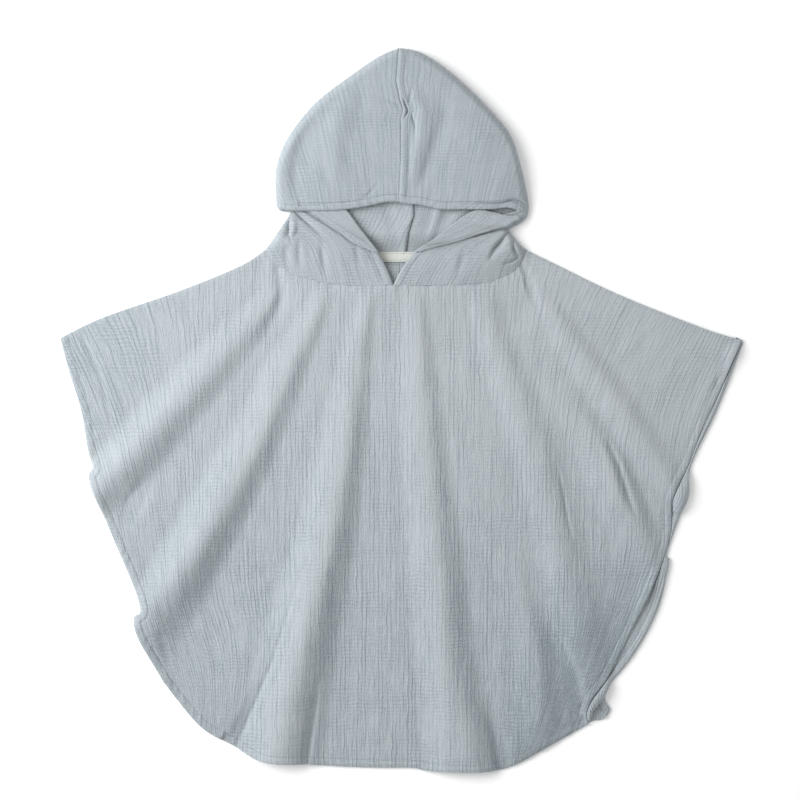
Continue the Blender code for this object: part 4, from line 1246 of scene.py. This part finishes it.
def hood_under(side, sections, shares, steps):
    """Points of the hood's lower layer, from the side fold at step 0 to the centre back seam at step 1."""
    row = section_columns(sections, shares)
    turn = hood_top(side, sections, shares, np.array([1.0]))
    seam_x = np.full(row.seam_y.shape, CENTRE_SEAM_X + side * SEAM_GAP / 2)
    goal = np.stack([seam_x, row.seam_y, np.full(row.seam_y.shape, WALL / 2)], axis=-1)
    spot = turn + np.asarray(steps)[None, :, None] * (goal - turn)
    inward = np.linalg.norm((spot - turn)[..., :2], axis=-1)
    curl = 1 - np.minimum(inward / (1.2 * SIDE_RADIUS), 1.0)
    spot[..., 2] = WALL / 2 + SIDE_RADIUS * (1 - np.sqrt(1 - curl**2))
    return spot


def hood_shares(sections):
    """Shares of a hood's sections that keep its rows an even distance apart, with a row by its neck seam and
    at both ends of its turned hem; and the shares of those two ends."""
    fine = np.linspace(0.0, 1.0, HOOD_SAMPLES)
    row = section_columns(sections, fine)
    lines = ((row.edge_x, row.edge_y), (row.mid_x, row.mid_y), (row.side_x, row.side_y))
    way = sum(lengths(np.hstack(line)) for line in lines)
    even = np.interp(np.linspace(0.0, way[-1], HOOD_ROWS + 1), way, fine)
    turned = [k / (len(sections) - 1) for k, section in enumerate(sections) if section.turned > 0]
    ends = turned[0], turned[-1]
    return np.unique(np.concatenate([even, [BY_SEAM, *ends]])), ends


def lengths_across(points):
    """How far each point of a sheet is from the first column, measured across the sheet."""
    way = np.zeros(points.shape[:2])
    way[:, 1:] = np.cumsum(np.linalg.norm(np.diff(points, axis=1), axis=-1), axis=1)
    return way


def hood_crinkles(u, v, seed):
    """The small swells of the hood's cloth: ribs, and two sizes of broader waves."""
    ribs = 0.16 * cloud(u / 2.6 + cloud(u / 30, v / 40, seed), v / 24, seed + 1)
    return ribs + 0.3 * cloud(u / 10, v / 30, seed + 2) + 0.5 * cloud(u / 30, v / 45, seed + 3)


def hood_upper_sheet(side, sections, shares, hem_ends, seed):
    """The points and the grain of a hood half's crown and collar, with their hem, seams and creases."""
    steps = np.concatenate([np.linspace(0.0, 0.96, HOOD_TOP_COLUMNS + 1 - len(SIDE_STEPS)), SIDE_STEPS])
    sheet = hood_top(side, sections, shares, steps)
    place = shares * (len(sections) - 1)
    x, y = sheet[..., 0].copy(), sheet[..., 1].copy()
    inside = lengths_across(sheet)
    way = lengths(sheet[:, 0])[:, None] + 0 * inside

    # Ribs run along the collar's edge, and fan out a little up the crown
    turning = np.abs(place - COLLAR_END).argmin()
    collar_grain = x[turning, 0] + side * inside
    crown_grain = x * (1 - CROWN_FAN * (y - y[turning, 0]))
    onto_crown = ramp(place, COLLAR_END - 1, COLLAR_END + 1)[:, None]
    u = collar_grain + (crown_grain - collar_grain) * onto_crown
    # The crown's ribs are pressed flatter than the collar's, and its colour takes painted shade with it
    grain = np.dstack([u, y, 1 - HOOD_PRESSED * onto_crown + 0 * u])

    from_side = ramp(lengths_across(sheet[:, ::-1])[:, ::-1], 0.0, 8.0)
    from_neck = ramp(y - np.interp(x, *front_neck(NECK_SAMPLES // 2).T), 0.0, 3.0)
    lift = hood_crinkles(u, y, seed) * from_side * from_neck
    lift += from_side * (crest_relief(x, y, HOOD_CREASES) + crest_relief(x, y, HOOD_FOLD_LINES, sharp))
    turns, turns_back = hem_ends
    not_turned = 1 - ramp(shares, turns - 0.02, turns) + ramp(shares, turns_back, turns_back + 0.03)
    lift += not_turned[:, None] * sewn_hem(inside, way, seed + 4)

    # The crown's seam is a groove, with its allowance stitched down under the right half
    crown = ramp(y, 204.0, 212.0) * ramp(place, 7.0, 8.5)[:, None]
    off_seam = side * (x - CENTRE_SEAM_X)
    lift -= 0.7 * crown * bell(off_seam, 0.8)
    if side > 0:
        off = CROWN_STITCH_OFF
        lift += crown * (0.6 * (1 - ramp(off_seam, off + 0.4, off + 1.6)) - 0.5 * bell(off_seam - off, 0.8))
        lift += crown * 0.25 * bell(off_seam - 3.5, 3.0) * cloud(y / 2.2, off_seam / 6, seed + 5)
    sheet[..., 2] += lift
    sheet[..., 0] += seam_shift(CROWN_SEAM, y) * bell(x - CENTRE_SEAM_X, 26.0) * ramp(y, 204.0, 214.0)
    return sheet, grain


def hood_lower_sheet(side, sections, shares, seed):
    """The points and the grain of a hood half's inner back, which is seen through the face opening."""
    steps = np.concatenate([FOLD_STEPS, np.linspace(0.03, 1.0, HOOD_UNDER_COLUMNS)])
    sheet = hood_under(side, sections, shares, steps)
    x, y = sheet[..., 0].copy(), sheet[..., 1].copy()
    u = x - INNER_LEAN * y
    inner = ramp(lengths_across(sheet), 2.0, 12.0)
    billow = INNER_BILLOW * bell(x - 4.0, 100.0) * ramp(y, 157.5, 178.0) * (1 - ramp(y, 214.0, 246.0))
    lift = inner * (0.9 * hood_crinkles(u, y, seed) + 0.3 + billow + crest_relief(x, y, INNER_CREASES))
    if side < 0:  # the allowance of the centre back seam lies under the left half
        off_seam = CENTRE_SEAM_X - x
        lift += 0.7 * (1 - ramp(off_seam, 5.2, 6.6)) - 0.5 * bell(off_seam - 4.6, 0.7)
    sheet[..., 2] += np.maximum(lift, -0.05)
    sheet[..., 0] += seam_shift(BACK_SEAM, y) * bell(x - CENTRE_SEAM_X, 30.0)
    return sheet, np.dstack([u, y, np.ones(u.shape)])


def turned_hem_sheet(side, sections, shares, seed, edge):
    """The points and the grain of the turned-out face hem, from its free edge round to the face edge."""
    steps = np.concatenate([np.linspace(1.0, 0.0, TURNED_COLUMNS), TURN_STEPS])
    sheet = hood_turned(side, sections, shares, steps)
    u = lengths_across(sheet)
    v = lengths(sheet[:, 0])[:, None] + 0 * u
    lift = 0.6 * sewn_hem(u, v, seed + 6) + 0.5 * hood_crinkles(u, v, seed)
    sheet[..., 2] += ramp(steps, -0.1, 0.15)[None, :] * lift
    sheet = np.concatenate([sheet, edge[:, None]], axis=1)
    u, v = (np.concatenate([grid, grid[:, -1:]], axis=1) for grid in (u, v))
    return sheet, np.dstack([u, v, np.ones(u.shape)])


def make_hood_half(name, side, sections, seed, into):
    """One half of the hood, as one cloth: collar and crown, inner back and turned-out face hem."""
    shares, hem_ends = hood_shares(sections)
    top, top_grain = hood_upper_sheet(side, sections, shares, hem_ends, seed)
    under, under_grain = hood_lower_sheet(side, sections, shares, seed)
    some = (shares >= hem_ends[0] - 1e-9) & (shares <= hem_ends[1] + 1e-9)
    turned, turned_grain = turned_hem_sheet(side, sections, shares[some], seed, top[some, 0])
    for k, grain in enumerate((top_grain, under_grain, turned_grain)):
        grain[..., :2] += LAYERS_APART * k, HALVES_APART * seed
    body, body_grain = (np.concatenate(pair, axis=1) for pair in ((top, under), (top_grain, under_grain)))
    patches = [(body, body_grain), (turned, turned_grain)]
    piece = cloth_mesh(name, patches, finish_named("cotton_double_gauze_hood"), into)
    solidify(piece, WALL - 0.1, 0.0)
    return piece


def make_tape(into):
    """The tape along the back neck, laid in a slight curve, with a groove and a selvedge along both edges."""
    half_width, half_length = bpy.context.scene.towel_cloth.tape_width / MM / 2, TAPE_LENGTH / 2
    across = np.linspace(-half_width, half_width, TAPE_ROWS + 1)[:, None]
    lengthwise = np.linspace(-half_length, half_length, TAPE_COLUMNS + 1)[None]
    x = TAPE_X + lengthwise + 0 * across
    y = TAPE_Y + across + TAPE_SAG * (lengthwise / half_length) ** 2
    off = np.abs(across)
    z = TAPE_Z + 0.18 * cloud(x / 14, y / 9, 41) - 0.4 * bell(off - 3.3, 0.6) + 0.3 * bell(off - 4.5, 0.7)
    patches = [(np.dstack([x, y, z]), np.dstack([x, across + 0 * x, np.ones(x.shape)]))]
    piece = cloth_mesh("neck_tape_band", patches, finish_named("cotton_herringbone_tape_woven"), into)
    solidify(piece, TAPE_WALL, -1.0)
    return piece


def hem_stitches(piece, edge, above):
    """The line of stitching of a hem, moved in from its edge and laid on the piece."""
    hem = bpy.context.scene.towel_cloth.hem_width / MM
    return laid_on(piece, edge - outward(edge) * hem, above)


def crown_hem_stitches(half, side, sections):
    """The line of stitching of the face hem over a hood half's crown."""
    shares = np.linspace(CROWN_HEM_START / (len(sections) - 1), 1.0, 200)
    edge = hood_top(side, sections, shares, np.array([0.0]))[:, 0, :2]
    hem = bpy.context.scene.towel_cloth.hem_width / MM
    return laid_on(half, edge + [0.0, hem], SEWN_IN_SEAM)


def make_stitching(into):
    """Rows of stitches on the hems, the crown's centre seam and the tape."""
    front, back, left_half, right_half, tape = (bpy.data.objects[name] for name in (
        "front_panel_cloth", "back_panel_cloth", "hood_left_cloth", "hood_right_cloth", "neck_tape_band"))
    y = np.linspace(CROWN_BOTTOM, CROWN_TOP, 240)
    seam = np.column_stack([seam_shift(CROWN_SEAM, y) + CENTRE_SEAM_X + CROWN_STITCH_OFF, y])
    half_length = TAPE_LENGTH / 2 - 2.0
    tape_x = np.linspace(TAPE_X - half_length, TAPE_X + half_length, 200)
    rows = {
        "front_hem_stitches": [hem_stitches(front, front_edge(), SEWN_IN)],
        "back_hem_stitches": [hem_stitches(back, evenly(BACK_RIGHT, 500), SEWN_IN_BACK)],
        "crown_stitches": [
            crown_hem_stitches(left_half, -1, LEFT_HOOD),
            laid_on(right_half, seam, SEWN_IN_SEAM),
            crown_hem_stitches(right_half, 1, RIGHT_HOOD),
        ],
        "tape_stitches": [
            laid_on(tape, np.column_stack([tape_x, np.full(200, TAPE_Y + off)]), SEWN_IN_SEAM)
            for off in TAPE_STITCHES
        ],
    }
    for name, lines in rows.items():
        thread = "tape_thread_spun" if name == "tape_stitches" else "sewing_thread_spun"
        yield stitch_mesh(name, lines, finish_named(thread), into)


def area_light(name, place, aim, power, size):
    """A round soft light that faces a place."""
    lamp = bpy.data.lights.new(name, "AREA")
    lamp.energy, lamp.shape, lamp.size = power, "DISK", size
    holder = bpy.data.objects.new(name, lamp)
    holder.location = place
    holder.rotation_euler = (Vector(aim) - Vector(place)).to_track_quat("-Z", "Y").to_euler()
    bpy.context.scene.collection.objects.link(holder)


# Settings and operators


def length_property(name, description, millimetres):
    """A length that the user can change."""
    return FloatProperty(
        name=name, description=description, default=millimetres * MM, min=0.0, precision=5,
        subtype="DISTANCE", unit="LENGTH")


def colour_property(name, description, code):
    """A colour that the user can change, given as sRGB hex."""
    return FloatVectorProperty(
        name=name, description=description, default=linear(code), min=0.0, max=1.0, size=3, subtype="COLOR")


class TowelCloth(bpy.types.PropertyGroup):
    """Sizes of the gauze, the hems, the stitches and the tape"""

    rib_width: length_property("Rib width", "Width of the crinkled ribs of the gauze", 4.2)
    rib_depth: length_property("Rib depth", "How deep the creases between the ribs are", 0.225)
    pucker_depth: length_property("Pucker depth", "How deep the creases across the ribs are", 0.19)
    hem_width: length_property("Hem width", "From the edge to the hem's stitching", 7.5)
    stitch_pitch: length_property("Stitch pitch", "From one stitch to the next", 2.4)
    stitch_width: length_property("Thread width", "Thickness of the sewing thread, pulled flat", 0.6)
    tape_width: length_property("Tape width", "Width of the neck tape", 10.0)


class TowelColours(bpy.types.PropertyGroup):
    """Colours of the cloth, the tape, the threads and the table"""

    gauze: colour_property("Gauze", "The open face of the double gauze", "#B6BBBF")
    # Painted shade: the colour that the gauze is mixed towards down in its creases
    crease_shade: colour_property("Gauze creases", "The gauze deep in its creases", "#8B969C")
    thread: colour_property("Thread", "Sewing thread of the hems", "#6C777F")
    tape: colour_property("Tape", "Face of the neck tape", "#E3E6E1")
    # Painted shade between the tape's ribs
    tape_shade: colour_property("Tape shade", "Between the ribs of the neck tape", "#BCBEB7")
    tape_thread: colour_property("Tape thread", "Sewing thread of the neck tape", "#B9B8B0")
    table: colour_property("Table", "The board that the garment lies on", "#FFFFFF")


class TowelStage(bpy.types.PropertyGroup):
    """The camera and the lights"""

    camera_height: FloatProperty(
        name="Camera height", description="How high the camera is over the table", default=2.2222,
        subtype="DISTANCE", unit="LENGTH")
    lens: FloatProperty(name="Lens", description="Focal length of the camera", default=100.0, unit="CAMERA")
    key_power: FloatProperty(
        name="Key power", description="Power of the key light", default=32.0, unit="POWER")
    fill: FloatProperty(name="Fill", description="Strength of the light from all round", default=0.68)


class TOWEL_OT_back_panel(bpy.types.Operator):
    """Make the back panel, flat on the table, with its hem showing on the right"""

    bl_idname = "towel.back_panel"
    bl_label = "Back panel"

    def execute(self, context):
        piece = make_back(towel_collection())
        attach(piece, "root")
        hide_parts("back_panel")
        return {"FINISHED"}


class TOWEL_OT_front_panel(bpy.types.Operator):
    """Make the front panel, with its fanned folds and its hems"""

    bl_idname = "towel.front_panel"
    bl_label = "Front panel"

    def execute(self, context):
        piece = make_front(towel_collection())
        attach(piece, "root")
        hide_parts("front_panel")
        return {"FINISHED"}


class TOWEL_OT_hood(bpy.types.Operator):
    """Make the two halves of the hood, pressed flat with the face hem turned out"""

    bl_idname = "towel.hood"
    bl_label = "Hood halves"

    def execute(self, context):
        halves = (("hood_left", -1, LEFT_HOOD, 51), ("hood_right", 1, RIGHT_HOOD, 71))
        for name, side, sections, seed in halves:
            piece = make_hood_half(name + "_cloth", side, sections, seed, towel_collection())
            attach(piece, "root")
            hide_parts(name)
        return {"FINISHED"}


class TOWEL_OT_neck_tape(bpy.types.Operator):
    """Make the herringbone tape over the back neck seam"""

    bl_idname = "towel.neck_tape"
    bl_label = "Neck tape"

    def execute(self, context):
        piece = make_tape(towel_collection())
        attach(piece, "root")
        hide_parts("neck_tape")
        return {"FINISHED"}


class TOWEL_OT_stitching(bpy.types.Operator):
    """Sew the hems, the crown's centre seam and the neck tape with rows of stitches"""

    bl_idname = "towel.stitching"
    bl_label = "Stitching"

    def execute(self, context):
        for piece in make_stitching(towel_collection()):
            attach(piece, "root")
        return {"FINISHED"}


class TOWEL_OT_stage(bpy.types.Operator):
    """Set the table, the lights and the camera straight above"""

    bl_idname = "towel.stage"
    bl_label = "Stage"

    def execute(self, context):
        settings = context.scene.towel_stage
        middle = (CAD_BOX[0] + CAD_BOX[1]) / 2
        bpy.ops.mesh.primitive_plane_add(size=TABLE_SIZE, location=(0.0, 0.0, TABLE_Z))
        table = context.object
        table.name = "table_top"
        table.data.materials.append(finish_named("painted_board_rolled"))
        camera = bpy.data.cameras.new("camera")
        camera.lens, camera.sensor_width = settings.lens, SENSOR
        holder = bpy.data.objects.new("camera", camera)
        holder.location = (CAMERA_X, CAMERA_Y, settings.camera_height)
        context.scene.collection.objects.link(holder)
        context.scene.camera = holder
        area_light("key", KEY_PLACE, (middle.x, middle.y, 0.0), settings.key_power, KEY_SIZE)
        world = bpy.data.worlds.new("studio")
        world.use_nodes = True
        background = world.node_tree.nodes["Background"]
        background.inputs["Color"].default_value = (1.0, 1.0, 1.0, 1.0)
        background.inputs["Strength"].default_value = settings.fill
        context.scene.world = world
        context.scene.view_settings.view_transform = "Standard"
        context.scene.view_settings.look = "None"
        return {"FINISHED"}


OPERATORS = (
    TOWEL_OT_back_panel, TOWEL_OT_front_panel, TOWEL_OT_hood, TOWEL_OT_neck_tape, TOWEL_OT_stitching,
    TOWEL_OT_stage,
)


class TOWEL_PT_panel(bpy.types.Panel):
    """Lists the towel's pieces and its settings"""

    bl_label = "Hooded towel"
    bl_idname = "TOWEL_PT_panel"
    bl_space_type = "VIEW_3D"
    bl_region_type = "UI"
    bl_category = "Towel"

    def draw(self, context):
        for operator in OPERATORS:
            self.layout.operator(operator.bl_idname)
        for group in (context.scene.towel_cloth, context.scene.towel_colours, context.scene.towel_stage):
            box = self.layout.box()
            for name in group.__annotations__:
                box.prop(group, name)


CLASSES = (TowelCloth, TowelColours, TowelStage) + OPERATORS + (TOWEL_PT_panel,)


def register():
    """Add the settings, the operators and the panel."""
    for item in CLASSES:
        bpy.utils.register_class(item)
    bpy.types.Scene.towel_cloth = PointerProperty(type=TowelCloth)
    bpy.types.Scene.towel_colours = PointerProperty(type=TowelColours)
    bpy.types.Scene.towel_stage = PointerProperty(type=TowelStage)


def unregister():
    """Take the settings, the operators and the panel away again."""
    del bpy.types.Scene.towel_cloth, bpy.types.Scene.towel_colours, bpy.types.Scene.towel_stage
    for item in reversed(CLASSES):
        bpy.utils.unregister_class(item)


def main():
    """Make the towel and its stage."""
    register()
    bpy.ops.towel.back_panel()
    bpy.ops.towel.front_panel()
    bpy.ops.towel.hood()
    bpy.ops.towel.neck_tape()
    bpy.ops.towel.stitching()
    bpy.ops.towel.stage()


if __name__ == "__main__":
    main()
